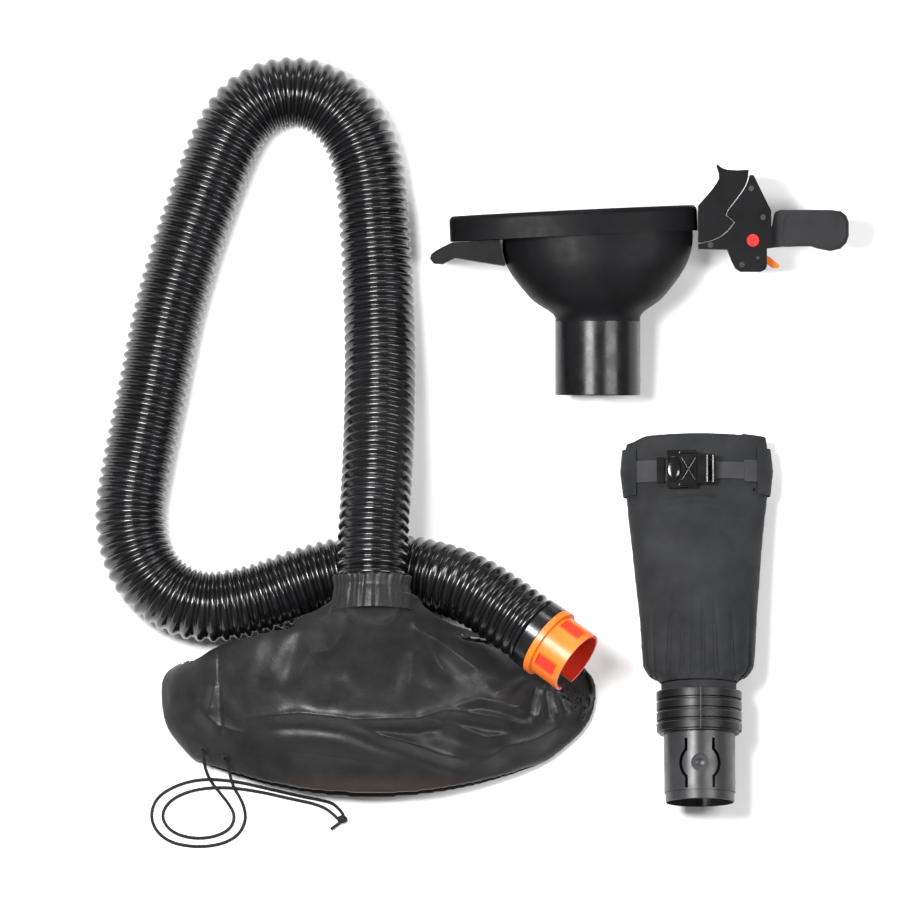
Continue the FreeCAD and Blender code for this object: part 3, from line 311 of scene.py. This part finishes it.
# name: darkest and lightest grey or colour, roughness, grain scale, grain strength, specular level
MOULDINGS = {
    "hose_plastic": ((0.003, 0.003, 0.0035), (0.007, 0.007, 0.008), 0.2, 500, 0.08, 0.5),
    "black_plastic": ((0.005, 0.005, 0.005), (0.009, 0.009, 0.009), 0.36, 900, 0.12, 0.25),
    "eyelet_metal": ((0.01, 0.01, 0.01), (0.02, 0.02, 0.02), 0.3, 900, 0.15, 0.5),
    "orange_plastic": ((0.78, 0.11, 0.004), (0.9, 0.17, 0.008), 0.36, 700, 0.08, 0.3),
    "orange_connector": ((0.72, 0.13, 0.006), (0.86, 0.19, 0.012), 0.36, 700, 0.08, 0.5),
    "red_plastic": ((0.5, 0.012, 0.01), (0.68, 0.02, 0.016), 0.3, 700, 0.08, 0.5),
    "rubber": ((0.006, 0.006, 0.006), (0.01, 0.01, 0.01), 0.6, 900, 0.15, 0.2),
    "funnel_plastic": ((0.004, 0.004, 0.0045), (0.007, 0.007, 0.008), 0.42, 1100, 0.15, 0.07),
    "spout_plastic": ((0.004, 0.004, 0.0045), (0.007, 0.007, 0.008), 0.25, 500, 0.06, 0.22),
    "textured_plastic": ((0.004, 0.004, 0.0045), (0.008, 0.008, 0.009), 0.46, 420, 0.7, 0.06),
    "lever_plastic": ((0.012, 0.012, 0.014), (0.022, 0.022, 0.025), 0.42, 1000, 0.2, 0.12),
    "buckle_plastic": ((0.003, 0.003, 0.003), (0.006, 0.006, 0.006), 0.14, 500, 0.08, 0.4),
    "collar_plastic": ((0.005, 0.005, 0.005), (0.009, 0.009, 0.009), 0.38, 900, 0.12, 0.22),
    "spigot_plastic": ((0.022, 0.022, 0.024), (0.034, 0.034, 0.036), 0.32, 900, 0.15, 0.3),
}
# name: darkest and lightest thread, roughness, threads a metre, weave, sheen, crease, specular level
FABRICS = {
    "cover_nylon": ((0.010, 0.010, 0.0105), (0.021, 0.021, 0.022), 0.36, 700.0, 0.1, 0.05, 0.35, 0.24),
    "sleeve_woven": ((0.014, 0.0145, 0.0155), (0.026, 0.0265, 0.028), 0.6, 420.0, 0.45, 0.04, 0.2, 0.08),
    "webbing": ((0.030, 0.030, 0.032), (0.050, 0.050, 0.053), 0.55, 330.0, 0.6, 0.06, 0.1, 0.12),
}


def build_materials():
    made = {name: moulded(name, *finish) for name, finish in MOULDINGS.items()}
    made.update({name: woven(name, *finish) for name, finish in FABRICS.items()})
    made["steel"] = shader("steel", (0.03, 0.03, 0.03), 0.35, 0.5, 0.6)
    made["cord_nylon"] = shader("cord_nylon", (0.01, 0.01, 0.01), 0.6, 0.2)
    vary_roughness(made["steel"], noise(made["steel"], 80.0, 4.0), 0.3, 0.45)
    vary_color(made["steel"], noise(made["steel"], 60.0, 3.0), (0.02, 0.02, 0.02), (0.04, 0.04, 0.04))
    vary_color(made["cord_nylon"], noise(made["cord_nylon"], 900.0, 2.0),
               (0.005, 0.005, 0.005), (0.016, 0.016, 0.016))
    bump(made["cord_nylon"], noise(made["cord_nylon"], 700.0, 1.0), 0.7, 0.0006)
    # painted contact shadow: the cover turns a brownish tint towards its hem's lower edge
    paint_shadow_along(made["cover_nylon"], "Y", -0.125, -0.157, (0.035, 0.024, 0.018))
    # painted shade: the connector's recessed panels near its axis take a deep red, standing in for their
    # shaded side
    paint_shade_near_axis(made["orange_connector"], CONNECTOR_CENTRE, CONNECTOR_AXIS, 0.0508, 0.0522,
                   (0.62, 0.03, 0.012))
    return made


def finish_cad_nodes(materials):
    """Every CAD node takes the finish of its material slot."""
    slots = {row["node"]: row["material_slot"] for row in frame["record"]["subparts"]}
    for name, piece in NODES.items():
        piece.data.materials.clear()
        piece.data.materials.append(materials[slots[name]])
    NODES["connector"].data.materials[0] = materials["orange_connector"]
    for name in ("neck_band", "belt_loop_left", "belt_loop_right"):
        NODES[name].data.materials[0] = materials["sleeve_woven"]


def use(piece, materials, slot, body):
    """Give a new piece its finish and the body it rides on."""
    piece.data.materials.clear()
    piece.data.materials.append(materials[slot])
    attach(piece, body)
    return piece


# ---------------------------------------------------------------- camera, floor and light
def build_studio():
    """A white floor under a large soft light, seen almost straight down with a long lens."""
    elevation = math.radians(82.0)
    distance = 40.0
    view_width = 1.44
    target = Vector((0.112, 0.404, 0.0))
    lens = bpy.data.cameras.new("camera")
    lens.sensor_width = 36.0
    lens.lens = 36.0 * distance / view_width
    lens.clip_end = 200.0
    camera = bpy.data.objects.new("camera", lens)
    camera.location = target + Vector((0, -math.cos(elevation), math.sin(elevation))) * distance
    camera.rotation_euler = (math.pi / 2 - elevation, 0, 0)
    bpy.context.scene.collection.objects.link(camera)
    bpy.context.scene.camera = camera
    bpy.context.scene.view_settings.view_transform = "Standard"

    floor = new_mesh("floor", [(-8, -8, 0), (8, -8, 0), (8, 8, 0), (-8, 8, 0)], [(0, 1, 2, 3)], False)
    white = shader("floor_white", (0.9, 0.9, 0.9), 0.9, 0.1)
    vary_color(white, noise(white, 3.0, 2.0), (0.89, 0.89, 0.89), (0.92, 0.92, 0.92))
    floor.data.materials.append(white)
    floor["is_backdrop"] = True

    world = bpy.data.worlds.new("studio")
    world.use_nodes = True
    world.node_tree.nodes["Background"].inputs["Color"].default_value = (1.0, 1.0, 1.0, 1.0)
    world.node_tree.nodes["Background"].inputs["Strength"].default_value = 0.30
    bpy.context.scene.world = world
    for name, place, width, height, power, aim in (
        ("key", (-0.85, 0.5, 3.0), 0.8, 1.1, 165.0, (0.05, 0.4, 0.0)),
        ("fill", (1.9, 0.2, 2.2), 0.5, 1.4, 42.0, (0.3, 0.4, 0.0)),
        ("back", (0.1, 2.8, 1.5), 1.8, 0.4, 26.0, (0.1, 0.4, 0.0)),
    ):
        lamp = bpy.data.lights.new(name, "AREA")
        lamp.shape = "RECTANGLE"
        lamp.size = width
        lamp.size_y = height
        lamp.energy = power
        made = bpy.data.objects.new(name, lamp)
        made.location = place
        toward = Vector(aim) - Vector(place)
        made.rotation_euler = toward.to_track_quat("-Z", "Y").to_euler()
        bpy.context.scene.collection.objects.link(made)


# ---------------------------------------------------------------- hose and drawstring
HOSE_ROUTE = [
    (-0.012, 0.153, 0.176), (-0.012, 0.227, 0.176), (-0.003, 0.354, 0.146), (0.001, 0.514, 0.088),
    (-0.002, 0.655, 0.060), (-0.009, 0.765, 0.057), (-0.016, 0.852, 0.057), (-0.043, 0.924, 0.057),
    (-0.094, 0.969, 0.057), (-0.158, 0.978, 0.057), (-0.216, 0.950, 0.057), (-0.251, 0.890, 0.057),
    (-0.280, 0.809, 0.057), (-0.311, 0.719, 0.057), (-0.341, 0.610, 0.057), (-0.362, 0.497, 0.057),
    (-0.386, 0.383, 0.057), (-0.404, 0.279, 0.057), (-0.374, 0.187, 0.057), (-0.297, 0.139, 0.057),
    (-0.205, 0.151, 0.057), (-0.112, 0.187, 0.057), (-0.026, 0.207, 0.057), (0.061, 0.199, 0.061),
    (0.139, 0.173, 0.094), (0.2101, 0.1229, 0.1130), (0.2486, 0.0928, 0.1234),
]
RIB_PITCH = 0.0158
RIB_DEPTH = 0.006


def build_hose(materials):
    """A corrugated hose: rounded ribs with tight valleys between them, along the route."""
    line = spline_curve("hose_line", HOSE_ROUTE)
    points, lengths = read_line(line)
    total = lengths[-1]
    bpy.data.objects.remove(line)
    ribs = round(total / RIB_PITCH)
    per_rib = 10
    around = 56
    rings = ribs * per_rib
    stations = [total * i / rings for i in range(rings + 1)]
    outer = HOSE_DIAMETER / 2
    vertices = []
    for index, (place, tangent, side) in enumerate(frames_along(points, lengths, stations)):
        other = tangent.cross(side)
        phase = index / per_rib
        crest = 1 - abs(math.cos(math.pi * phase)) ** 3.0
        radius = outer - RIB_DEPTH * (1 - crest)
        for step in range(around):
            angle = 2 * math.pi * step / around
            vertices.append(place + side * (radius * math.cos(angle)) + other * (radius * math.sin(angle)))
    faces = []
    for ring in range(rings):
        for step in range(around):
            a = ring * around + step
            b = ring * around + (step + 1) % around
            faces.append((a, b, b + around, a + around))
    hose = new_mesh("corrugated_hose", vertices, faces)
    use(hose, materials, "hose_plastic", "cover_and_hose")
    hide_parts("hose")
    return hose


DRAWSTRINGS = {
    "drawstring_a": [
        (-0.2829, -0.0871, 0.0439), (-0.281, -0.102, 0.041), (-0.277, -0.119, 0.025), (-0.269, -0.133, 0.009),
        (-0.256, -0.149, 0.009), (-0.241, -0.167, 0.0025), (-0.231, -0.186, 0.0025), (-0.238, -0.207, 0.0025),
        (-0.263, -0.220, 0.0025), (-0.299, -0.223, 0.0025), (-0.334, -0.212, 0.0025), (-0.350, -0.187, 0.0025),
        (-0.337, -0.162, 0.0025), (-0.303, -0.145, 0.0025), (-0.253, -0.139, 0.0025), (-0.196, -0.146, 0.0025),
        (-0.141, -0.159, 0.0025), (-0.102, -0.167, 0.0025), (-0.079, -0.178, 0.0025), (-0.066, -0.192, 0.0025),
    ],
    "drawstring_b": [
        (-0.2471, -0.1020, 0.0518), (-0.241, -0.114, 0.046), (-0.238, -0.130, 0.028), (-0.232, -0.144, 0.009),
        (-0.223, -0.158, 0.009), (-0.216, -0.174, 0.0025), (-0.214, -0.194, 0.0025), (-0.225, -0.217, 0.0025),
        (-0.252, -0.232, 0.0025), (-0.295, -0.237, 0.0025), (-0.342, -0.227, 0.0025), (-0.367, -0.196, 0.0025),
        (-0.360, -0.159, 0.0025), (-0.327, -0.137, 0.0025), (-0.283, -0.126, 0.0025), (-0.232, -0.130, 0.0025),
        (-0.180, -0.142, 0.0025), (-0.129, -0.154, 0.0025), (-0.092, -0.161, 0.0025), (-0.069, -0.168, 0.0025),
        (-0.058, -0.185, 0.0025),
    ],
}


def build_drawstrings(materials):
    for name, route in DRAWSTRINGS.items():
        strand = spline_curve(name + "_cord", route)
        _, lengths = read_line(strand)
        strand.data.bevel_depth = CORD_DIAMETER / 2
        strand.data.bevel_resolution = 4
        strand.data.use_fill_caps = True
        use(strand, materials, "cord_nylon", "cover_and_hose")
        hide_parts(name)


# ---------------------------------------------------------------- fabric
def joined_copy(name, nodes):
    """One mesh made of copies of several CAD nodes."""
    merged = bmesh.new()
    for each in nodes:
        merged.from_mesh(NODES[each].data)
    mesh = bpy.data.meshes.new(name)
    merged.to_mesh(mesh)
    merged.free()
    made = bpy.data.objects.new(name, mesh)
    bpy.context.scene.collection.objects.link(made)
    return made


def remeshed(piece, voxel, smoothing):
    """Even small faces all over, so that folds can be shaped into the surface."""
    remesh = piece.modifiers.new("even", "REMESH")
    remesh.mode = "VOXEL"
    remesh.voxel_size = voxel
    remesh.use_smooth_shade = True
    smooth = piece.modifiers.new("soften", "SMOOTH")
    smooth.factor = 0.5
    smooth.iterations = smoothing
    return apply_modifiers(piece)


def vertex_array(piece):
    count = len(piece.data.vertices)
    places = np.empty(count * 3)
    piece.data.vertices.foreach_get("co", places)
    normals = np.empty(count * 3)
    piece.data.vertices.foreach_get("normal", normals)
    return places.reshape(-1, 3), normals.reshape(-1, 3)


def set_vertices(piece, places):
    piece.data.vertices.foreach_set("co", places.astype(np.float32).ravel())
    piece.data.update()


def ease(low, high, values):
    share = np.clip((values - low) / (high - low), 0, 1)
    return share * share * (3 - 2 * share)


def along_line(places, line):
    """For each place: its signed distance in plan from a broken line, and how far along it is, 0 to 1."""
    best = np.full(len(places), 1e9)
    signed = np.full(len(places), 1e9)
    share = np.zeros(len(places))
    steps = [math.dist(a, b) for a, b in zip(line, line[1:])]
    total = sum(steps)
    done = 0.0
    for (ax, ay), (bx, by), step in zip(line, line[1:], steps):
        dx, dy = (bx - ax) / step, (by - ay) / step
        px, py = places[:, 0] - ax, places[:, 1] - ay
        run = np.clip(px * dx + py * dy, 0, step)
        off = np.hypot(px - run * dx, py - run * dy)
        nearer = off < best
        best = np.where(nearer, off, best)
        signed = np.where(nearer, np.copysign(off, dx * py - dy * px), signed)
        share = np.where(nearer, (done + run) / total, share)
        done += step
    return signed, share


def crease(places, line, height, width, valley=0.5, side=-1):
    """A fold along a line: a crest that falls away on both sides, with a valley beside it."""
    off, share = along_line(places, line)
    fade = ease(0, 0.18, share) * ease(0, 0.22, 1 - share)
    crest = np.exp(-np.abs(off) / width)
    dip = np.exp(-((off - side * 2.2 * width) / (1.3 * width)) ** 2)
    return height * fade * (crest - valley * dip)


def noise_field(places, scale, seed, stretch=(1.0, 1.0, 1.0)):
    """Sum of sines in seeded directions: soft uneven ripples, quick over many places."""
    chance = random.Random(seed)
    total = np.zeros(len(places))
    scaled = places * np.array(stretch)
    for _ in range(7):
        heading = np.array([chance.gauss(0, 1) for _ in range(3)])
        heading /= np.linalg.norm(heading)
        pace = scale * chance.uniform(0.6, 1.5)
        bend = np.array([chance.gauss(0, 1) for _ in range(3)])
        bend /= np.linalg.norm(bend)
        warp = 0.9 * np.sin(scaled @ bend * scale * 0.45 + chance.uniform(0, 6))
        total += np.sin(scaled @ heading * pace + chance.uniform(0, 6.28) + warp)
    return total / 4.2


COVER_FOLDS = [
    # line in plan, height, width, valley share
    ([(-0.226, -0.040), (-0.128, -0.036), (-0.042, -0.047), (0.059, -0.045), (0.106, -0.030), (0.195, -0.040),
      (0.262, -0.052)], 0.0095, 0.0085, 0.75),
    ([(-0.060, -0.050), (0.000, -0.069), (0.050, -0.082), (0.098, -0.098), (0.134, -0.106), (0.154, -0.096)],
     0.0085, 0.0075, 0.7),
    ([(0.060, -0.040), (0.120, -0.052), (0.170, -0.070), (0.215, -0.062)], 0.006, 0.008, 0.6),
    ([(0.106, -0.028), (0.160, -0.012), (0.205, -0.018), (0.255, -0.034)], 0.006, 0.007, 0.6),
    ([(0.262, 0.020), (0.258, -0.012), (0.250, -0.048)], 0.007, 0.006, 0.7),
    ([(0.272, 0.016), (0.281, -0.010), (0.286, -0.040)], 0.007, 0.006, 0.7),
    ([(0.282, 0.018), (0.300, 0.000), (0.312, -0.022)], 0.006, 0.006, 0.7),
    ([(0.252, 0.022), (0.232, -0.004), (0.214, -0.030)], 0.006, 0.006, 0.7),
    ([(0.244, 0.028), (0.210, 0.010), (0.176, -0.004)], 0.005, 0.006, 0.7),
    ([(0.028, 0.120), (0.054, 0.060), (0.046, -0.018)], 0.007, 0.010, 0.5),
    ([(0.048, 0.108), (0.088, 0.050), (0.112, 0.012)], 0.006, 0.010, 0.5),
    ([(0.056, 0.100), (0.120, 0.060), (0.170, 0.026)], 0.005, 0.009, 0.5),
    ([(-0.012, 0.120), (-0.030, 0.060), (-0.036, 0.000)], 0.006, 0.010, 0.6),
    ([(-0.036, 0.118), (-0.078, 0.060), (-0.112, 0.050), (-0.144, 0.000)], 0.005, 0.009, 0.6),
    ([(-0.070, 0.118), (-0.130, 0.100), (-0.200, 0.086)], 0.005, 0.008, 0.5),
    ([(-0.090, 0.112), (-0.170, 0.078), (-0.250, 0.060)], 0.005, 0.009, 0.5),
    ([(-0.262, 0.020), (-0.268, -0.006), (-0.274, -0.034)], 0.004, 0.006, 0.5),
    ([(-0.300, -0.010), (-0.260, -0.050), (-0.200, -0.070)], 0.005, 0.010, 0.5),
    ([(0.160, -0.110), (0.200, -0.084), (0.250, -0.070), (0.300, -0.040)], 0.005, 0.009, 0.5),
    ([(-0.150, -0.090), (-0.060, -0.104), (0.040, -0.118)], 0.004, 0.010, 0.5),
]


def hose_tree():
    line = spline_curve("hose_guide", HOSE_ROUTE)
    points, _ = read_line(line)
    bpy.data.objects.remove(line)
    tree = KDTree(len(points) * 6)
    for index in range(len(points) - 1):
        for part in range(6):
            tree.insert(points[index].lerp(points[index + 1], part / 6), index * 6 + part)
    tree.balance()
    return tree


def build_cover(materials):
    """The bin cover as one thin cloth shell that sags, folds and hugs the hose."""
    nodes = ("cover_crown", "cover_skirt", "cover_hem")
    cover = remeshed(joined_copy("bin_cover", nodes), 0.003, 14)
    places, normals = vertex_array(cover)
    start = places.copy()
    high = ease(0.008, 0.035, places[:, 2])

    # the upper left edge bulges over the hose's flank
    reach = ease(-0.345, -0.29, places[:, 0]) * (1 - ease(-0.13, -0.075, places[:, 0]))
    edge = ease(0.02, 0.085, places[:, 1])
    lifted = ease(0.045, 0.08, places[:, 2])
    places[:, 1] += 0.020 * reach * edge * lifted

    lift = np.zeros(len(places))
    for line, height, width, valley in COVER_FOLDS:
        lift += crease(start, line, height, width, valley)
    lift += 0.0028 * noise_field(start, 42.0, 3) + 0.0012 * noise_field(start, 120.0, 8)
    # a stitched seam down the left panel
    off, share = along_line(start, [(-0.257, 0.066), (-0.256, 0.0), (-0.252, -0.066)])
    lift -= 0.0016 * np.exp(-(off / 0.0022) ** 2) * (share > 0) * (share < 1)
    places[:, 2] += lift * high
    outward = places[:, :2] - np.array([-0.012, 0.02])
    outward /= np.maximum(1e-6, np.hypot(outward[:, 0], outward[:, 1]))[:, None]
    steep = np.clip(1 - np.abs(normals[:, 2]), 0, 1) * high
    side_wave = 0.0022 * noise_field(start, 60.0, 21, (1.0, 1.0, 0.35)) * steep
    places[:, :2] += outward * side_wave[:, None]

    _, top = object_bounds()
    places[:, 2] = np.clip(places[:, 2], 0.0, top[2])

    # keep clear of the hose, wall behind wall
    tree = hose_tree()
    radius = HOSE_DIAMETER / 2
    for index in range(len(places)):
        if start[index, 1] < 0.03:
            continue
        near, _, gap = tree.find(places[index])
        if gap > radius + 0.012:
            continue
        away = Vector(places[index]) - near
        before = (Vector(start[index]) - near).length
        facing = away.normalized().dot(Vector(normals[index])) < 0
        need = radius + (0.0015 if facing else 0.0045)
        if gap < need and before > radius * 0.8:
            places[index] = near + away.normalized() * need
    places[:, 2] = np.maximum(places[:, 2], 0.0)
    set_vertices(cover, places)
    smooth = cover.modifiers.new("settle", "SMOOTH")
    smooth.factor = 0.4
    smooth.iterations = 2
    apply_modifiers(cover)
    cover.data.polygons.foreach_set("use_smooth", [True] * len(cover.data.polygons))
    use(cover, materials, "cover_nylon", "cover_and_hose")
    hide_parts(*nodes)
    return cover


def build_collar(materials):
    """The cover's gathered neck: pleats drawn in round the hose by an elastic."""
    axis_x, axis_z = HOSE_ROUTE[0][0], HOSE_ROUTE[0][2]
    # each ring's place along the axis, its radius and its pleats' depth
    rings = [
        (0.120, 0.0655, 0.0006), (0.132, 0.0640, 0.0012), (0.143, 0.0625, 0.0018),
        (0.150, 0.0618, 0.0020), (0.155, 0.0606, 0.0014), (0.158, 0.0602, 0.0010),
        (0.161, 0.0606, 0.0013), (0.166, 0.0616, 0.0018), (0.171, 0.0624, 0.0022),
        (0.174, 0.0626, 0.0024), (0.1745, 0.0616, 0.0022), (0.170, 0.0604, 0.0014),
    ]
    around = 360
    chance = random.Random(5)
    phases = [
        (chance.randint(fewest, most), chance.uniform(0, 6.28), share)
        for fewest, most, share in ((17, 24, 0.5), (29, 38, 0.35), (7, 11, 0.3))
    ]
    vertices = []
    for place, radius, depth in rings:
        for step in range(around):
            angle = 2 * math.pi * step / around
            wave = sum(share * math.sin(count * angle + phase + 26 * (place - 0.15) * share * 3)
                       for count, phase, share in phases)
            spread = max(0.0588, radius + depth * wave)
            vertices.append((axis_x + spread * math.cos(angle), place + 0.0012 * wave * (place > 0.165),
                             axis_z + spread * math.sin(angle)))
    faces = []
    for ring in range(len(rings) - 1):
        for step in range(around):
            a = ring * around + step
            b = ring * around + (step + 1) % around
            faces.append((a, a + around, b + around, b))
    collar = new_mesh("gathered_neck", vertices, faces)
    use(collar, materials, "cover_nylon", "cover_and_hose")
    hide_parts("collar_band", "collar_ring")
    return collar


def build_sleeve(materials):
    """The sleeve's cloth: soft waves, gathers above the ribbed collar and a hem that arches."""
    nodes = ("sleeve_fabric", "sleeve_hem")
    sleeve = remeshed(joined_copy("sleeve_cloth", nodes), 0.0026, 8)
    places, normals = vertex_array(sleeve)
    axis_x = 0.5095
    bottom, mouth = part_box("sleeve_fabric")[0].y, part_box("sleeve_hem")[1].y
    around = np.arctan2(places[:, 2] - 0.06, places[:, 0] - axis_x)
    up = (places[:, 1] - bottom) / (mouth - bottom)
    near_neck = ease(0.0, 0.05, up) * (1 - ease(0.10, 0.42, up))
    clear = 1 - ease(0.66, 0.74, up)
    pleats = np.abs(np.sin(around * 9 + 0.6 * np.sin(around * 3 + 1)))
    push = -0.0042 * near_neck * (1 - pleats) ** 2.2
    push += 0.0016 * noise_field(places, 34.0, 12, (1.0, 0.5, 1.0)) * clear * ease(0.02, 0.1, up)
    off, _ = along_line(places, [(axis_x - 0.024, 0.036), (axis_x - 0.020, 0.020)])
    push -= 0.002 * np.exp(-(off / 0.002) ** 2) * (places[:, 2] > 0.06)
    wrinkle = np.zeros(len(places))
    for height, depth, width in ((0.318, 0.0016, 0.003), (0.306, 0.0012, 0.003), (0.296, 0.0010, 0.003)):
        bend = height + 0.004 * np.sin(places[:, 0] * 40)
        wrinkle -= depth * np.exp(-((places[:, 1] - bend) / width) ** 2) * (places[:, 0] < axis_x + 0.03)
    push += wrinkle * (places[:, 2] > 0.06)
    places += normals * push[:, None]
    # the hem's edge is lower at its left corner and arches in the middle
    across = (places[:, 0] - axis_x) / 0.112
    arch = 0.005 * (1 - across ** 2) - 0.0085 * ease(-0.72, -1.0, across)
    places[:, 1] += arch * ease(0.93, 1.0, up)
    places[:, 2] = np.maximum(places[:, 2], 0.0008)
    set_vertices(sleeve, places)
    use(sleeve, materials, "sleeve_woven", "sleeve")
    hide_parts(*nodes)
    return sleeve


# ---------------------------------------------------------------- small details
def dome(name, centre, half, materials, slot, body, sides=40, rings=10, flat=0.35):
    """A low rounded boss standing on a surface, oval in plan."""
    vertices = [(centre.x, centre.y, centre.z + half.z)]
    faces = []
    for ring in range(1, rings + 1):
        share = ring / rings
        spread = share ** 0.8
        height = half.z * (1 - share ** 2) ** flat
        for step in range(sides):
            angle = 2 * math.pi * step / sides
            vertices.append((centre.x + half.x * spread * math.cos(angle),
                             centre.y + half.y * spread * math.sin(angle), centre.z + height))
    for step in range(sides):
        faces.append((0, 1 + step, 1 + (step + 1) % sides))
    for ring in range(rings - 1):
        base = 1 + ring * sides
        for step in range(sides):
            after = (step + 1) % sides
            faces.append((base + step, base + sides + step, base + sides + after, base + after))
    return use(new_mesh(name, vertices, faces), materials, slot, body)


def bar(name, start, end, width, height, materials, slot, body):
    """A straight bar with rounded edges between two points on a surface."""
    start, end = Vector(start), Vector(end)
    along = (end - start).normalized()
    across = along.cross(Vector((0, 0, 1))).normalized()
    made = bmesh.new()
    corners = []
    for point in (start, end):
        for side in (-1, 1):
            corners.append(made.verts.new(point + across * side * width / 2))
    low = made.faces.new((corners[0], corners[1], corners[3], corners[2]))
    raised = bmesh.ops.extrude_face_region(made, geom=[low])["geom"]
    bmesh.ops.translate(made, verts=[one for one in raised if isinstance(one, bmesh.types.BMVert)],
                        vec=Vector((0, 0, height)))
    bmesh.ops.recalc_face_normals(made, faces=made.faces)
    mesh = bpy.data.meshes.new(name)
    made.to_mesh(mesh)
    made.free()
    piece = bpy.data.objects.new(name, mesh)
    bpy.context.scene.collection.objects.link(piece)
    round_over = piece.modifiers.new("round", "BEVEL")
    round_over.width = min(width, height) * 0.4
    round_over.segments = 3
    apply_modifiers(piece)
    return use(piece, materials, slot, body)


def build_buckle(materials):
    """Glossy mouldings on the side-release buckle: a domed press, crossed ribs and two cross bars."""
    low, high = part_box("buckle_female")
    mid_y = (low.y + high.y) / 2
    top = high.z
    half_y = (high.y - low.y) / 2
    dome("buckle_boss", Vector((low.x + 0.0105, mid_y, top - 0.0008)),
         Vector((0.0125, half_y * 0.72, 0.0055)), materials, "buckle_plastic", "sleeve")
    left, right = low.x + 0.023, high.x - 0.002
    for index, side in enumerate((-1, 1)):
        bar("buckle_rib_%d" % index, (left, mid_y - side * half_y * 0.62, top - 0.0004),
            (right, mid_y + side * half_y * 0.62, top - 0.0004),
            0.0034, 0.0034, materials, "buckle_plastic", "sleeve")
        bar("buckle_edge_%d" % index, (left - 0.004, mid_y + side * half_y * 0.86, top - 0.0004),
            (right, mid_y + side * half_y * 0.86, top - 0.0004),
            0.004, 0.003, materials, "buckle_plastic", "sleeve")
    low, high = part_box("buckle_male")
    for index, offset in enumerate((0.003, 0.0125)):
        bar("buckle_bar_%d" % index, (high.x - offset, low.y + 0.001, high.z - 0.0004),
            (high.x - offset, high.y - 0.001, high.z - 0.0004),
            0.004, 0.0034, materials, "buckle_plastic", "buckle")


def build_collar_highlight_lines(materials):
    """Painted highlights: thin rings of lighter grey along the ribbed collar's bands, and the mould line
    across them, a real ridge given the same lighter grey as a painted highlight.
    """
    low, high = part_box("ribbed_collar")
    axis_x, axis_z = (low.x + high.x) / 2, (low.z + high.z) / 2
    radius = (high.z - low.z) / 2
    length = high.y - low.y
    # painted highlights: each band edge gets a thin ring of the lighter spigot grey
    for index in range(4):
        place = low.y + length * (index + 1) / 4 - 0.0022
        vertices, faces = [], []
        around, section = 128, 8
        for step in range(around):
            angle = 2 * math.pi * step / around
            for corner in range(section):
                turn = 2 * math.pi * corner / section
                reach = radius - 0.0002 + 0.0006 * math.cos(turn)
                vertices.append((axis_x + reach * math.cos(angle), place + 0.0006 * math.sin(turn),
                                 axis_z + reach * math.sin(angle)))
        for step in range(around):
            after = (step + 1) % around
            for corner in range(section):
                beside = (corner + 1) % section
                faces.append((step * section + corner, after * section + corner, after * section + beside,
                              step * section + beside))
        use(new_mesh("collar_line_%d" % index, vertices, faces), materials, "spigot_plastic", "sleeve")
    # the mould line is a real ridge, painted in the lighter grey as a highlight
    bar("collar_mould_line_highlight", (axis_x + 0.002, low.y + 0.001, high.z - 0.0004),
        (axis_x + 0.002, high.y - 0.001, high.z - 0.0004),
        0.0014, 0.0008, materials, "spigot_plastic", "sleeve")


build_studio()
MATERIALS = build_materials()
finish_cad_nodes(MATERIALS)
build_hose(MATERIALS)
build_drawstrings(MATERIALS)
COVER = build_cover(MATERIALS)
NECK = build_collar(MATERIALS)
SLEEVE = build_sleeve(MATERIALS)
build_buckle(MATERIALS)
build_collar_highlight_lines(MATERIALS)
